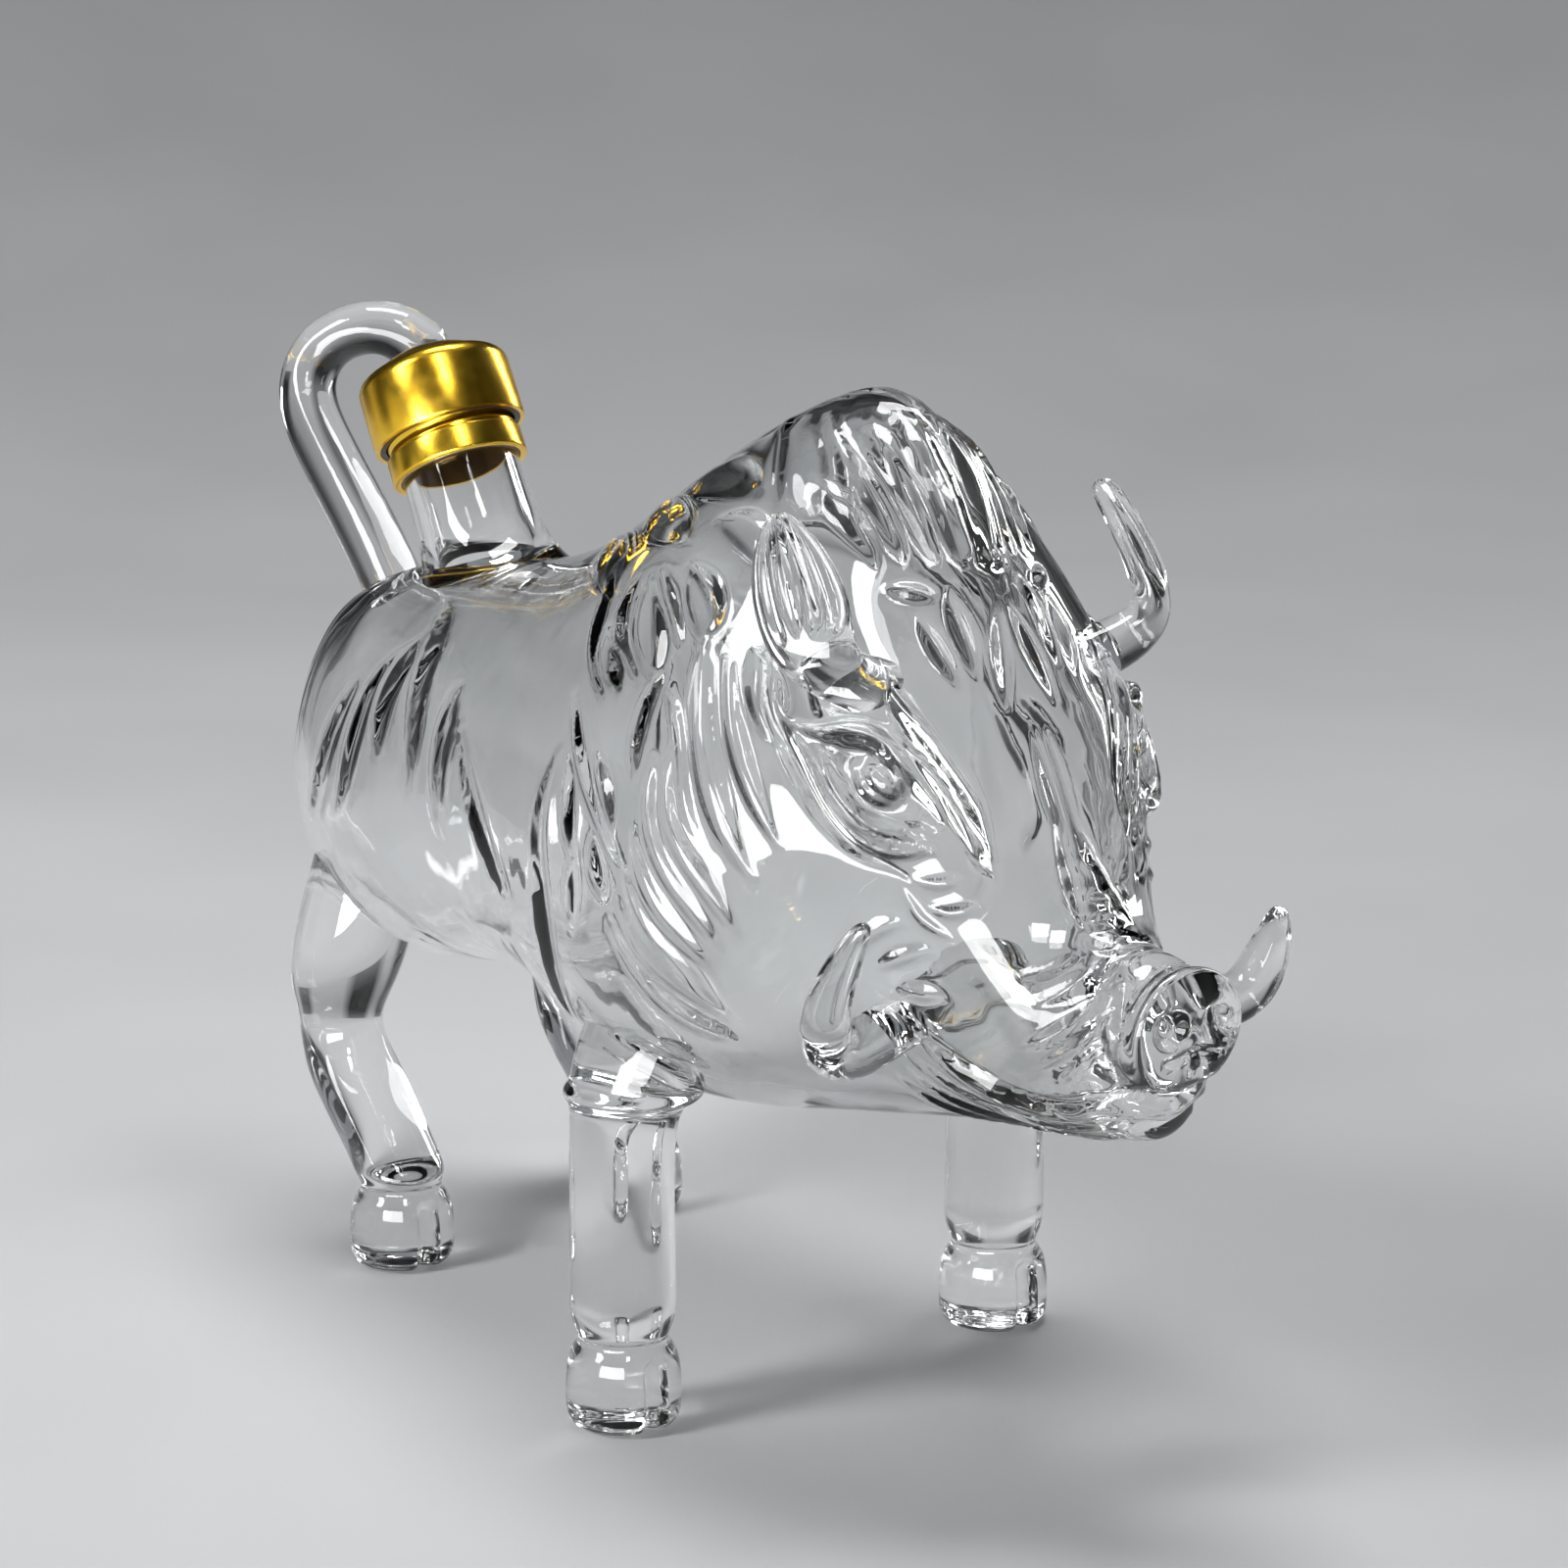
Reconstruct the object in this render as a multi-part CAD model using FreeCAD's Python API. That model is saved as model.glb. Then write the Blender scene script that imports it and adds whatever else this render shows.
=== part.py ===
"""Boar-shaped blown glass decanter with a gold screw cap, in millimetres.

The animal faces +X and stands on z = 0. The origin is under the middle of its overall box.
Right-hand pieces are on the -Y side, and left-hand ones are their mirror images.
"""

import FreeCAD
import Part
import math
import os

Vector = FreeCAD.Vector

# Body shell
body_length = 204.0
hump_height = 152.0
body_width = 88.0
glass_wall = 2.6
section_points = 16
# Least room between the hollow's sections, in walls
hollow_spacing_share = 1.6
# Along the body, underside, back, half width, height of the widest line, narrowing of the back, of the belly
body_station_shares = [
    (0.000, 0.500, 0.632, 0.159, 0.566, 1.00, 1.00),
    (0.010, 0.441, 0.678, 0.318, 0.559, 1.00, 1.00),
    (0.034, 0.382, 0.714, 0.477, 0.539, 1.00, 1.00),
    (0.078, 0.342, 0.734, 0.614, 0.526, 1.00, 0.95),
    (0.147, 0.319, 0.747, 0.727, 0.513, 1.00, 0.90),
    (0.225, 0.326, 0.763, 0.795, 0.513, 1.00, 0.90),
    (0.314, 0.345, 0.786, 0.818, 0.533, 1.05, 0.90),
    (0.412, 0.345, 0.832, 0.864, 0.539, 1.15, 0.85),
    (0.510, 0.322, 0.905, 0.943, 0.520, 1.20, 0.72),
    (0.598, 0.306, 0.967, 1.000, 0.513, 1.25, 0.68),
    (0.681, 0.309, 1.000, 0.977, 0.539, 1.60, 0.80),
    (0.745, 0.319, 0.957, 0.840, 0.592, 2.10, 0.95),
    (0.794, 0.329, 0.850, 0.670, 0.634, 2.00, 0.95),
    (0.833, 0.339, 0.745, 0.515, 0.630, 1.25, 0.95),
    (0.873, 0.345, 0.632, 0.380, 0.535, 1.25, 0.95),
    (0.917, 0.352, 0.556, 0.300, 0.458, 1.30, 0.95),
    (0.961, 0.362, 0.533, 0.245, 0.447, 1.10, 0.95),
    (0.986, 0.395, 0.528, 0.222, 0.464, 1.00, 1.00),
    (1.000, 0.438, 0.522, 0.195, 0.480, 1.00, 1.00),
]

# Face
snout_solid_length = 9.0
nostril_radius = 2.2
nostril_depth = 3.0
nostril_spread = 8.4
nostril_height_share = 0.478
mouth_height_share = 0.424
mouth_gap = 1.4
mouth_length = 30.0
eye_place_share = 0.840
eye_height_share = 0.672
eye_radius = 4.4
socket_radius = 9.0
brow_radius = 2.8
# Depth of the mouth line and of the eye sockets in the wall, and of the eyes and brows in their own radius
carve_depth_share = 0.5
sunk_share = 0.3
# Along the body, height and radius of the brow's guide rings
brow_ring_shares = [
    (0.798, 0.765, 0.45),
    (0.815, 0.745, 0.90),
    (0.838, 0.715, 1.05),
    (0.856, 0.665, 1.05),
    (0.866, 0.620, 0.80),
    (0.870, 0.590, 0.30),
]

# Neck
neck_place_share = 0.17
neck_lean = 29.0
neck_outer_radius = 9.8
neck_bore_radius = 7.7
neck_flare_radius = 13.0
neck_flare_height = 8.0
neck_root_depth = 16.0
neck_free_length = 16.5

# Screw collar bonded to the neck
bond_thickness = 0.3
collar_flange_radius = 11.5
collar_flange_height = 4.4
thread_radius = 10.8
thread_length = 9.0
rim_stand_out = 1.0

# Screw cap
thread_clearance = 0.3
insert_wall = 1.0
cap_wall = 0.8
cap_gap = 2.0
cap_dome_height = 4.2
cap_edge_radius = 2.6
seal_thickness = 1.6
seal_clearance = 0.25
seal_gap = 0.1

# Legs
front_leg_place_share = 0.601
front_leg_spread_share = 0.814
front_leg_radius = 7.7
front_leg_height = 54.0
rear_leg_place_share = 0.201
rear_leg_spread_share = 0.532
rear_leg_radius = 7.6
rear_leg_height = 46.0
rear_leg_step_back = 18.0
hoof_radius = 8.3
hoof_height = 12.0
cleft_depth = 2.4
cleft_width = 2.2
# Height and radius of the hoof's guide rings, up to the ankle groove
hoof_ring_shares = [
    (0.00, 0.60),
    (0.00, 1.00),
    (0.30, 1.05),
    (0.70, 1.03),
    (0.98, 0.95),
    (1.10, 0.74),
    (1.30, 0.92),
]
# Height, step back, step in and radius of the straight front leg's guide rings
front_ring_shares = [
    (0.36, 0.00, 0.00, 1.03),
    (0.55, 0.00, 0.00, 1.00),
    (0.80, 0.00, 0.00, 1.00),
    (0.90, 0.00, 0.02, 1.05),
    (0.97, 0.00, 0.10, 1.40),
    (1.12, 0.00, 0.22, 1.55),
    (1.50, 0.00, 0.50, 1.50),
]
# The same for the bent rear leg
rear_ring_shares = [
    (0.40, 0.14, 0.00, 0.98),
    (0.52, 0.46, 0.00, 1.03),
    (0.66, 0.82, 0.00, 1.04),
    (0.78, 1.02, 0.00, 0.88),
    (0.88, 1.00, 0.00, 0.95),
    (1.00, 0.92, 0.00, 1.25),
    (1.20, 0.80, 0.05, 1.35),
    (1.60, 0.75, 0.30, 1.30),
]

# Ears
ear_place_share = 0.780
ear_root_height_share = 0.743
ear_root_span_share = 0.318
ear_reach_out = 17.0
ear_rise = 24.5
ear_sweep_back = 8.0
ear_width = 12.8
ear_thickness = 5.0
# Way back, out and up along the middle of the ear, then its width and thickness
ear_ring_shares = [
    (0.00, 0.00, 0.00, 0.70, 1.70),
    (-0.15, 0.40, 0.05, 0.72, 1.70),
    (-0.36, 0.80, 0.16, 0.74, 1.60),
    (-0.36, 1.00, 0.30, 0.90, 1.25),
    (-0.12, 1.02, 0.50, 1.04, 0.95),
    (0.34, 0.99, 0.74, 0.92, 0.85),
    (0.76, 0.93, 0.93, 0.52, 0.70),
    (0.95, 0.90, 1.00, 0.28, 0.50),
    (0.98, 0.90, 1.015, 0.05, 0.10),
]

# Tusks
tusk_root_height_share = 0.457
tusk_root_span_share = 0.273
tusk_reach_out = 24.0
tusk_drop = 4.0
tusk_radius = 4.0
tusk_right_place_share = 0.815
tusk_right_rise = 17.3
tusk_right_sweep = 13.5
tusk_left_place_share = 0.878
tusk_left_rise = 9.5
tusk_left_sweep = 4.5
# Way forward, out, up (down as a share of the drop) along the middle of the tusk, then its radius
tusk_ring_shares = [
    (0.00, 0.00, 0.00, 1.00),
    (0.00, 0.25, -0.20, 1.00),
    (0.00, 0.48, -0.80, 1.00),
    (0.08, 0.76, -1.10, 1.00),
    (0.22, 0.96, -0.55, 0.96),
    (0.40, 1.03, 0.24, 0.84),
    (0.66, 1.04, 0.60, 0.63),
    (0.92, 1.02, 0.93, 0.40),
    (1.00, 1.01, 1.01, 0.24),
    (1.01, 1.01, 1.02, 0.04),
]

# Tail
tail_root_height_share = 0.678
tail_top_height = 152.0
tail_reach_back = 29.8
tail_curl_aside = 18.0
tail_radius = 5.3
# Way back past the rump, aside and up along the middle of the tail, then its radius
tail_ring_shares = [
    (-0.33, 0.00, 0.00, 1.00),
    (-0.08, 0.00, 0.16, 1.00),
    (0.33, 0.00, 0.39, 1.00),
    (0.76, 0.00, 0.60, 1.00),
    (1.06, 0.05, 0.78, 1.00),
    (1.08, 0.22, 0.95, 1.00),
    (0.86, 0.50, 1.05, 1.00),
    (0.67, 0.78, 1.04, 1.00),
    (0.57, 0.96, 0.98, 1.00),
    (0.53, 1.04, 0.93, 0.98),
    (0.52, 1.07, 0.90, 0.60),
    (0.52, 1.075, 0.898, 0.06),
]

# Shared
cut_overrun = 5.0
ring_points = 8

rear_x = (tail_reach_back - body_length) / 2
front_x = rear_x + body_length


def along(share):
    """X of a place given as a share of the body's length from the rump."""
    return rear_x + share * body_length


def body_stations():
    """Body stations as sizes: x, underside, back, half width, widest height and the two narrowings."""
    half = body_width / 2
    return [
        (along(x), low * hump_height, high * hump_height, wide * half, waist * hump_height, crown, keel)
        for x, low, high, wide, waist, crown, keel in body_station_shares
    ]


def between(stations, x, column):
    """A station column read at any x by straight steps, held at its end values past the ends."""
    if x <= stations[0][0]:
        return stations[0][column]
    for a, b in zip(stations, stations[1:]):
        if x <= b[0]:
            return a[column] + (b[column] - a[column]) * (x - a[0]) / (b[0] - a[0])
    return stations[-1][column]


def power(value, exponent):
    """Signed power, which keeps the side that a value is on."""
    return math.copysign(abs(value) ** exponent, value)


def body_section(x, low, high, half, waist, crown, keel):
    """Closed outline of the body across its length: an egg with its own back and belly."""
    points = []
    for i in range(section_points):
        angle = 2 * math.pi * i / section_points
        side, rise = math.cos(angle), math.sin(angle)
        reach = high - waist if rise > 0 else waist - low
        points.append(Vector(x, half * power(side, crown if rise > 0 else keel), waist + reach * rise))
    curve = Part.BSplineCurve()
    curve.interpolate(Points=points, PeriodicFlag=True)
    return Part.Wire([curve.toShape()])


def inner_stations(stations, depth, nose_depth):
    """Stations taken in by a depth, along the body as well as across it, and by more at the nose."""
    turns = [math.pi * k / section_points for k in range(-section_points // 2, section_points // 2 + 1)]
    nearest = hollow_spacing_share * depth
    nose_x = front_x - nose_depth
    places = [rear_x + depth]
    places += [s[0] for s in stations if rear_x + nearest < s[0] < nose_x - nearest]
    places += [nose_x]
    found = []
    for x in places:
        reach = [(x + depth * math.sin(turn), depth * math.cos(turn)) for turn in turns]
        low = max(between(stations, at, 1) + wall for at, wall in reach)
        high = min(between(stations, at, 2) - wall for at, wall in reach)
        half = min(between(stations, at, 3) - wall for at, wall in reach)
        found.append((x, low, high, half) + tuple(between(stations, x, c) for c in (4, 5, 6)))
    return found


def flank(x, z):
    """Half width of the body's outside at a place and height."""
    low, high, half, waist, crown, keel = (between(body_stations(), x, c) for c in range(1, 7))
    rise = (z - waist) / (high - waist if z > waist else waist - low)
    side = math.sqrt(max(0, 1 - rise * rise))
    return half * power(side, crown if rise > 0 else keel)


def loft(sections):
    """Smooth solid through closed outlines."""
    return Part.makeLoft(sections, True, False)


def guide_ring(centre, normal, wide_way, wide, thick):
    """Ring of guide points round a centre, whose smooth closed curve has the wanted half sizes."""
    normal = Vector(normal).normalize()
    across = Vector(wide_way) - normal * normal.dot(wide_way)
    across.normalize()
    up = normal.cross(across)
    step = 2 * math.pi / ring_points
    gain = 3 / (2 + math.cos(step))
    return [
        centre + across * (gain * wide * math.cos(i * step)) + up * (gain * thick * math.sin(i * step))
        for i in range(ring_points)
    ]


def skinned(rings):
    """Solid under a smooth skin drawn over guide rings, flat at its first and last ring."""
    rows = len(rings)
    skin = Part.BSplineSurface()
    skin.buildFromPolesMultsKnots(
        rings,
        [4] + [1] * (rows - 4) + [4],
        [1] * (ring_points + 1),
        [float(k) for k in range(rows - 2)],
        [float(k) for k in range(ring_points + 1)],
        False,
        True,
        3,
        3,
    )
    ends = [Part.Face(Part.Wire([skin.uIso(float(k)).toShape()])) for k in (0, rows - 3)]
    shell = Part.makeShell([skin.toShape()] + ends)
    shell.sewShape()
    solid = Part.makeSolid(shell)
    if solid.Volume < 0:
        solid.reverse()
    return solid


def drawn_rod(stations, wide_way):
    """Solid drawn along a path from stations (middle, half width, half thickness)."""
    middles = [s[0] for s in stations]
    steps = [(b - a).normalize() for a, b in zip(middles, middles[1:])]
    turns = [a + b for a, b in zip(steps, steps[1:])]
    normals = [steps[0]] + turns + [steps[-1]]
    rings = [
        guide_ring(middle, normal, wide_way, wide, thick)
        for (middle, wide, thick), normal in zip(stations, normals)
    ]
    return skinned(rings)


def mirrored(shape):
    """The left-hand twin of a right-hand piece."""
    return shape.mirror(Vector(), Vector(0, 1, 0))


def turned(profile):
    """Solid of revolution about Z from a closed profile in the XZ plane."""
    return Part.Face(Part.Wire(profile)).revolve(Vector(), Vector(0, 0, 1), 360)


def polygon(points):
    """Closed polygon edges in the XZ plane from (radius, height) pairs."""
    corners = [Vector(r, 0, z) for r, z in points]
    return [Part.LineSegment(a, b).toShape() for a, b in zip(corners, corners[1:] + corners[:1])]


def sleeve(inner, outer, bottom, top):
    """Plain ring about Z."""
    return turned(polygon([(inner, bottom), (outer, bottom), (outer, top), (inner, top)]))


# Neck frame: heights are along the leaning neck, from the point where its axis meets the back
neck_seat_height = between(body_stations(), along(neck_place_share), 2)
neck_axis = Vector(-math.sin(math.radians(neck_lean)), 0, math.cos(math.radians(neck_lean)))
neck_base = Vector(along(neck_place_share), 0, neck_seat_height)
collar_bottom = neck_free_length
thread_bottom = collar_bottom + collar_flange_height
thread_top = thread_bottom + thread_length
rim_height = thread_top + rim_stand_out
seal_top = rim_height + seal_thickness
liner_seat = seal_top + seal_gap
cap_bottom = thread_bottom + cap_gap
collar_bore_radius = neck_outer_radius + bond_thickness
insert_bore_radius = thread_radius + thread_clearance
insert_radius = insert_bore_radius + insert_wall
cap_radius = insert_radius + cap_wall
insert_top = liner_seat + insert_wall
cap_top = insert_top + cap_wall + cap_dome_height


def on_neck(shape):
    """A piece modelled upright about Z, placed on the leaning neck."""
    placed = shape.copy()
    placed.rotate(Vector(), Vector(0, 1, 0), -neck_lean)
    placed.translate(neck_base)
    return placed


def brow():
    """Right brow: a bar of glass laid over the eye, half sunk in the head."""
    stations = []
    for place, height, round_share in brow_ring_shares:
        x, z, radius = along(place), height * hump_height, round_share * brow_radius
        stations.append((Vector(x, sunk_share * brow_radius - flank(x, z), z), radius, radius))
    return drawn_rod(stations, Vector(0, 1, 0))


def eye_parts():
    """Right eye: the shallow dish cut for it and the bead set in the dish."""
    x, z = along(eye_place_share), eye_height_share * hump_height
    side = Vector(x, -flank(x, z), z)
    turn_in = (flank(x + eye_radius, z) - flank(x - eye_radius, z)) / (2 * eye_radius)
    turn_up = (flank(x, z + eye_radius) - flank(x, z - eye_radius)) / (2 * eye_radius)
    outward = Vector(-turn_in, -1, -turn_up).normalize()
    dish_depth = carve_depth_share * glass_wall
    dish_radius = (socket_radius ** 2 + dish_depth ** 2) / (2 * dish_depth)
    dish = Part.makeSphere(dish_radius, side + outward * (dish_radius - dish_depth))
    bead = Part.makeSphere(eye_radius, side - outward * (2 * sunk_share * eye_radius))
    return dish, bead


def mouth_line():
    """Thin groove round the muzzle between the lips."""
    depth = carve_depth_share * glass_wall
    inside = loft([body_section(*s) for s in inner_stations(body_stations(), depth, depth)])
    middle = mouth_height_share * hump_height
    slab = Part.makeBox(
        mouth_length + cut_overrun,
        body_width,
        mouth_gap,
        Vector(front_x - mouth_length, -body_width / 2, middle - mouth_gap / 2),
    )
    return slab.cut(inside)


def nostril():
    """Right nostril: a tapering pit in the snout."""
    start = Vector(front_x + cut_overrun, -nostril_spread / 2, nostril_height_share * hump_height)
    slope = nostril_radius / 2 / nostril_depth
    return Part.makeCone(
        nostril_radius + cut_overrun * slope,
        nostril_radius / 2,
        nostril_depth + cut_overrun,
        start,
        Vector(-1, 0, 0),
    )


def outer_body():
    """The body's outside as one solid, with its face."""
    outside = loft([body_section(*s) for s in body_stations()])
    dish, bead = eye_parts()
    pit = nostril()
    ridge = brow()
    for cutter in (mouth_line(), dish, mirrored(dish), pit, mirrored(pit)):
        outside = outside.cut(cutter)
    for added in (bead, mirrored(bead), ridge, mirrored(ridge)):
        outside = outside.fuse(added)
    return outside


def body_shell(outside):
    """Blown shell: the outside less the hollow and the way up into the neck."""
    nose_depth = glass_wall + snout_solid_length
    hollow = loft([body_section(*s) for s in inner_stations(body_stations(), glass_wall, nose_depth)])
    way_up = on_neck(
        Part.makeCylinder(neck_bore_radius, neck_root_depth + cut_overrun, Vector(0, 0, -neck_root_depth))
    )
    return outside.cut(hollow).cut(way_up)


def neck_tube(outside):
    """Glass neck with a flared foot welded to the back, open through its bore."""
    flare = Part.Arc(
        Vector(neck_flare_radius, 0, 0),
        Vector(
            neck_outer_radius + (neck_flare_radius - neck_outer_radius) * (1 - math.sin(math.pi / 4)),
            0,
            neck_flare_height * (1 - math.cos(math.pi / 4)),
        ),
        Vector(neck_outer_radius, 0, neck_flare_height),
    ).toShape()
    corners = [
        Vector(neck_outer_radius, 0, neck_flare_height),
        Vector(neck_outer_radius, 0, rim_height),
        Vector(neck_bore_radius, 0, rim_height),
        Vector(neck_bore_radius, 0, -neck_root_depth),
        Vector(neck_flare_radius, 0, -neck_root_depth),
        Vector(neck_flare_radius, 0, 0),
    ]
    edges = [Part.LineSegment(a, b).toShape() for a, b in zip(corners, corners[1:])]
    return on_neck(turned(edges + [flare])).cut(outside)


def collar_bond():
    """Thin adhesive ring that holds the collar on the glass."""
    return on_neck(sleeve(neck_outer_radius, collar_bore_radius, collar_bottom, thread_top))


def neck_collar():
    """Metal collar: a flange below and the thread's sleeve above."""
    profile = polygon([
        (collar_bore_radius, collar_bottom),
        (collar_flange_radius, collar_bottom),
        (collar_flange_radius, thread_bottom),
        (thread_radius, thread_bottom),
        (thread_radius, thread_top),
        (collar_bore_radius, thread_top),
    ])
    return on_neck(turned(profile))


def cap_seal():
    """Soft disc that the cap presses on the rim."""
    radius = insert_bore_radius - seal_clearance
    return on_neck(Part.makeCylinder(radius, seal_thickness, Vector(0, 0, rim_height)))


def cap_insert():
    """Screw liner inside the cap: a cup over the thread and the seal."""
    profile = polygon([
        (0, insert_top),
        (0, liner_seat),
        (insert_bore_radius, liner_seat),
        (insert_bore_radius, cap_bottom),
        (insert_radius, cap_bottom),
        (insert_radius, insert_top),
    ])
    return on_neck(turned(profile))


def cap_shell():
    """Metal cap over the liner, with a rounded shoulder and a shallow dome."""
    shoulder = insert_top + cap_wall
    shoulder_in = cap_radius - cap_edge_radius
    bend = cap_edge_radius * math.sin(math.pi / 4)
    edge_arc = Part.Arc(
        Vector(cap_radius, 0, shoulder - cap_edge_radius + cap_wall),
        Vector(shoulder_in + bend, 0, shoulder - cap_edge_radius + cap_wall + bend),
        Vector(shoulder_in, 0, shoulder + cap_wall),
    ).toShape()
    crown_rise = cap_top - shoulder - cap_wall
    crown_radius = (shoulder_in ** 2 + crown_rise ** 2) / (2 * crown_rise)
    half_angle = math.asin(shoulder_in / crown_radius) / 2
    dome_arc = Part.Arc(
        Vector(shoulder_in, 0, shoulder + cap_wall),
        Vector(crown_radius * math.sin(half_angle), 0, cap_top - crown_radius * (1 - math.cos(half_angle))),
        Vector(0, 0, cap_top),
    ).toShape()
    corners = [
        Vector(0, 0, cap_top),
        Vector(0, 0, insert_top),
        Vector(insert_radius, 0, insert_top),
        Vector(insert_radius, 0, cap_bottom),
        Vector(cap_radius, 0, cap_bottom),
        Vector(cap_radius, 0, shoulder - cap_edge_radius + cap_wall),
    ]
    edges = [Part.LineSegment(a, b).toShape() for a, b in zip(corners, corners[1:])]
    return on_neck(turned(edges + [edge_arc, dome_arc]))


def hoof_cleft(x):
    """Wedge that parts the two toes at the front of a hoof standing at x."""
    front = x + hoof_radius + cut_overrun
    half_mouth = cleft_width / 2 * (cleft_depth + cut_overrun) / cleft_depth
    corners = [
        Vector(x + hoof_radius - cleft_depth, 0, -cut_overrun),
        Vector(front, half_mouth, -cut_overrun),
        Vector(front, -half_mouth, -cut_overrun),
    ]
    face = Part.Face(Part.makePolygon(corners + corners[:1]))
    return face.extrude(Vector(0, 0, cut_overrun + hoof_height))


def leg(place_share, spread_share, height, step_back, radius, ring_shares):
    """Right leg on its hoof, drawn up over level rings into the body."""
    x, y = along(place_share), -spread_share * body_width / 2
    stations = [(x, y, hoof_height * up, hoof_radius * round_share) for up, round_share in hoof_ring_shares]
    stations += [
        (x - back * step_back, y * (1 - aside), height * up, radius * round_share)
        for up, back, aside, round_share in ring_shares
    ]
    upright = Vector(0, 0, 1)
    rings = [guide_ring(Vector(x, y, z), upright, Vector(1, 0, 0), r, r) for x, y, z, r in stations]
    cleft = hoof_cleft(x)
    cleft.translate(Vector(0, y, 0))
    return skinned(rings).cut(cleft)


def front_leg():
    """Straight right front leg with a flared root under the chest."""
    return leg(
        front_leg_place_share,
        front_leg_spread_share,
        front_leg_height,
        0,
        front_leg_radius,
        front_ring_shares,
    )


def rear_leg():
    """Bent right rear leg: slanting shank, pinched hock and a root under the rump."""
    return leg(
        rear_leg_place_share,
        rear_leg_spread_share,
        rear_leg_height,
        rear_leg_step_back,
        rear_leg_radius,
        rear_ring_shares,
    )


def ear():
    """Right ear: a knob of glass on the head, drawn up and back into a leaf with a round tip."""
    root = Vector(
        along(ear_place_share),
        -ear_root_span_share * body_width / 2,
        ear_root_height_share * hump_height,
    )
    stations = [
        (
            root + Vector(-back * ear_sweep_back, -out * ear_reach_out, up * ear_rise),
            wide * ear_width / 2,
            thick * ear_thickness / 2,
        )
        for back, out, up, wide, thick in ear_ring_shares
    ]
    return drawn_rod(stations, Vector(1, 1, 0))


def tusk(place_share, full_rise, sweep):
    """Right-hand tusk: out of the lip, down round a bend and up to its tip."""
    root = Vector(
        along(place_share),
        -tusk_root_span_share * body_width / 2,
        tusk_root_height_share * hump_height,
    )
    stations = []
    for forward, out, up, round_share in tusk_ring_shares:
        rise = up * (full_rise if up > 0 else tusk_drop)
        middle = root + Vector(forward * sweep, -out * tusk_reach_out, rise)
        stations.append((middle, round_share * tusk_radius, round_share * tusk_radius))
    return drawn_rod(stations, Vector(1, 0, 0))


def tail():
    """Tail rod: up and back from the rump, then curled over forward and to the left."""
    back = tail_reach_back - tail_radius
    root_height = tail_root_height_share * hump_height
    rise = tail_top_height - tail_radius - root_height
    stations = []
    for far, aside, up, round_share in tail_ring_shares:
        middle = Vector(rear_x - far * back, aside * tail_curl_aside, root_height + up * rise)
        stations.append((middle, round_share * tail_radius, round_share * tail_radius))
    return drawn_rod(stations, Vector(0, 1, 0))


def limbs():
    """Pieces drawn out of the body, by name, still running on into it."""
    found = {
        "tusk_right": tusk(tusk_right_place_share, tusk_right_rise, tusk_right_sweep),
        "tusk_left": mirrored(tusk(tusk_left_place_share, tusk_left_rise, tusk_left_sweep)),
        "tail": tail(),
    }
    for name, drawn in (("front_leg", front_leg()), ("rear_leg", rear_leg()), ("ear", ear())):
        found[name + "_right"] = drawn
        found[name + "_left"] = mirrored(drawn)
    return found


def pieces():
    """Every piece of the decanter by name."""
    outside = outer_body()
    found = {name: drawn.cut(outside) for name, drawn in limbs().items()}
    found["body_shell"] = body_shell(outside)
    found["neck_tube"] = neck_tube(outside)
    found["collar_bond"] = collar_bond()
    found["neck_collar"] = neck_collar()
    found["cap_seal"] = cap_seal()
    found["cap_insert"] = cap_insert()
    found["cap_shell"] = cap_shell()
    return found


os.makedirs("parts", exist_ok=True)
for name, shape in pieces().items():
    shape.exportStep("parts/" + name + ".step")
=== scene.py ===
"""Looks of a boar-shaped glass decanter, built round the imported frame.

Sizes are in millimetres until a mesh is made. The animal faces +X and stands on z = 0, with its right side
at -Y. Places on the body are shares: along it from the rump to the snout, and down a side from the back to
the keel.
"""
import bpy
import math
import numpy as np
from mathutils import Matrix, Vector


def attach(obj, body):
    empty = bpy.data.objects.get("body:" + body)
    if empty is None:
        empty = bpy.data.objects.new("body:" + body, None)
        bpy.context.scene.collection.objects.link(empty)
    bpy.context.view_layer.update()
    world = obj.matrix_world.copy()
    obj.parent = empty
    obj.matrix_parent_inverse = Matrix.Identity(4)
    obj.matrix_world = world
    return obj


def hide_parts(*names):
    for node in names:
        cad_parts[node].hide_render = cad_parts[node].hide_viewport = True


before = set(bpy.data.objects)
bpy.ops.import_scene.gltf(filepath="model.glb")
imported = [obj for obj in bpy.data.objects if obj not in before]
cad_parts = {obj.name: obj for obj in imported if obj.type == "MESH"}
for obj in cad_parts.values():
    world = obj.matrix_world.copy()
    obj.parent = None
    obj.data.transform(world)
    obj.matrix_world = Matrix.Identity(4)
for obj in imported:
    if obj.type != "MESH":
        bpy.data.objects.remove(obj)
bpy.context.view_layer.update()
scene = bpy.context.scene
MM = 0.001
tiny = 1e-9

# Body sizes
body_length = 204.0
hump_height = 152.0
body_width = 88.0
glass_wall = 2.6
tail_reach_back = 29.8
rear_x = (tail_reach_back - body_length) / 2
section_points = 16
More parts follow.
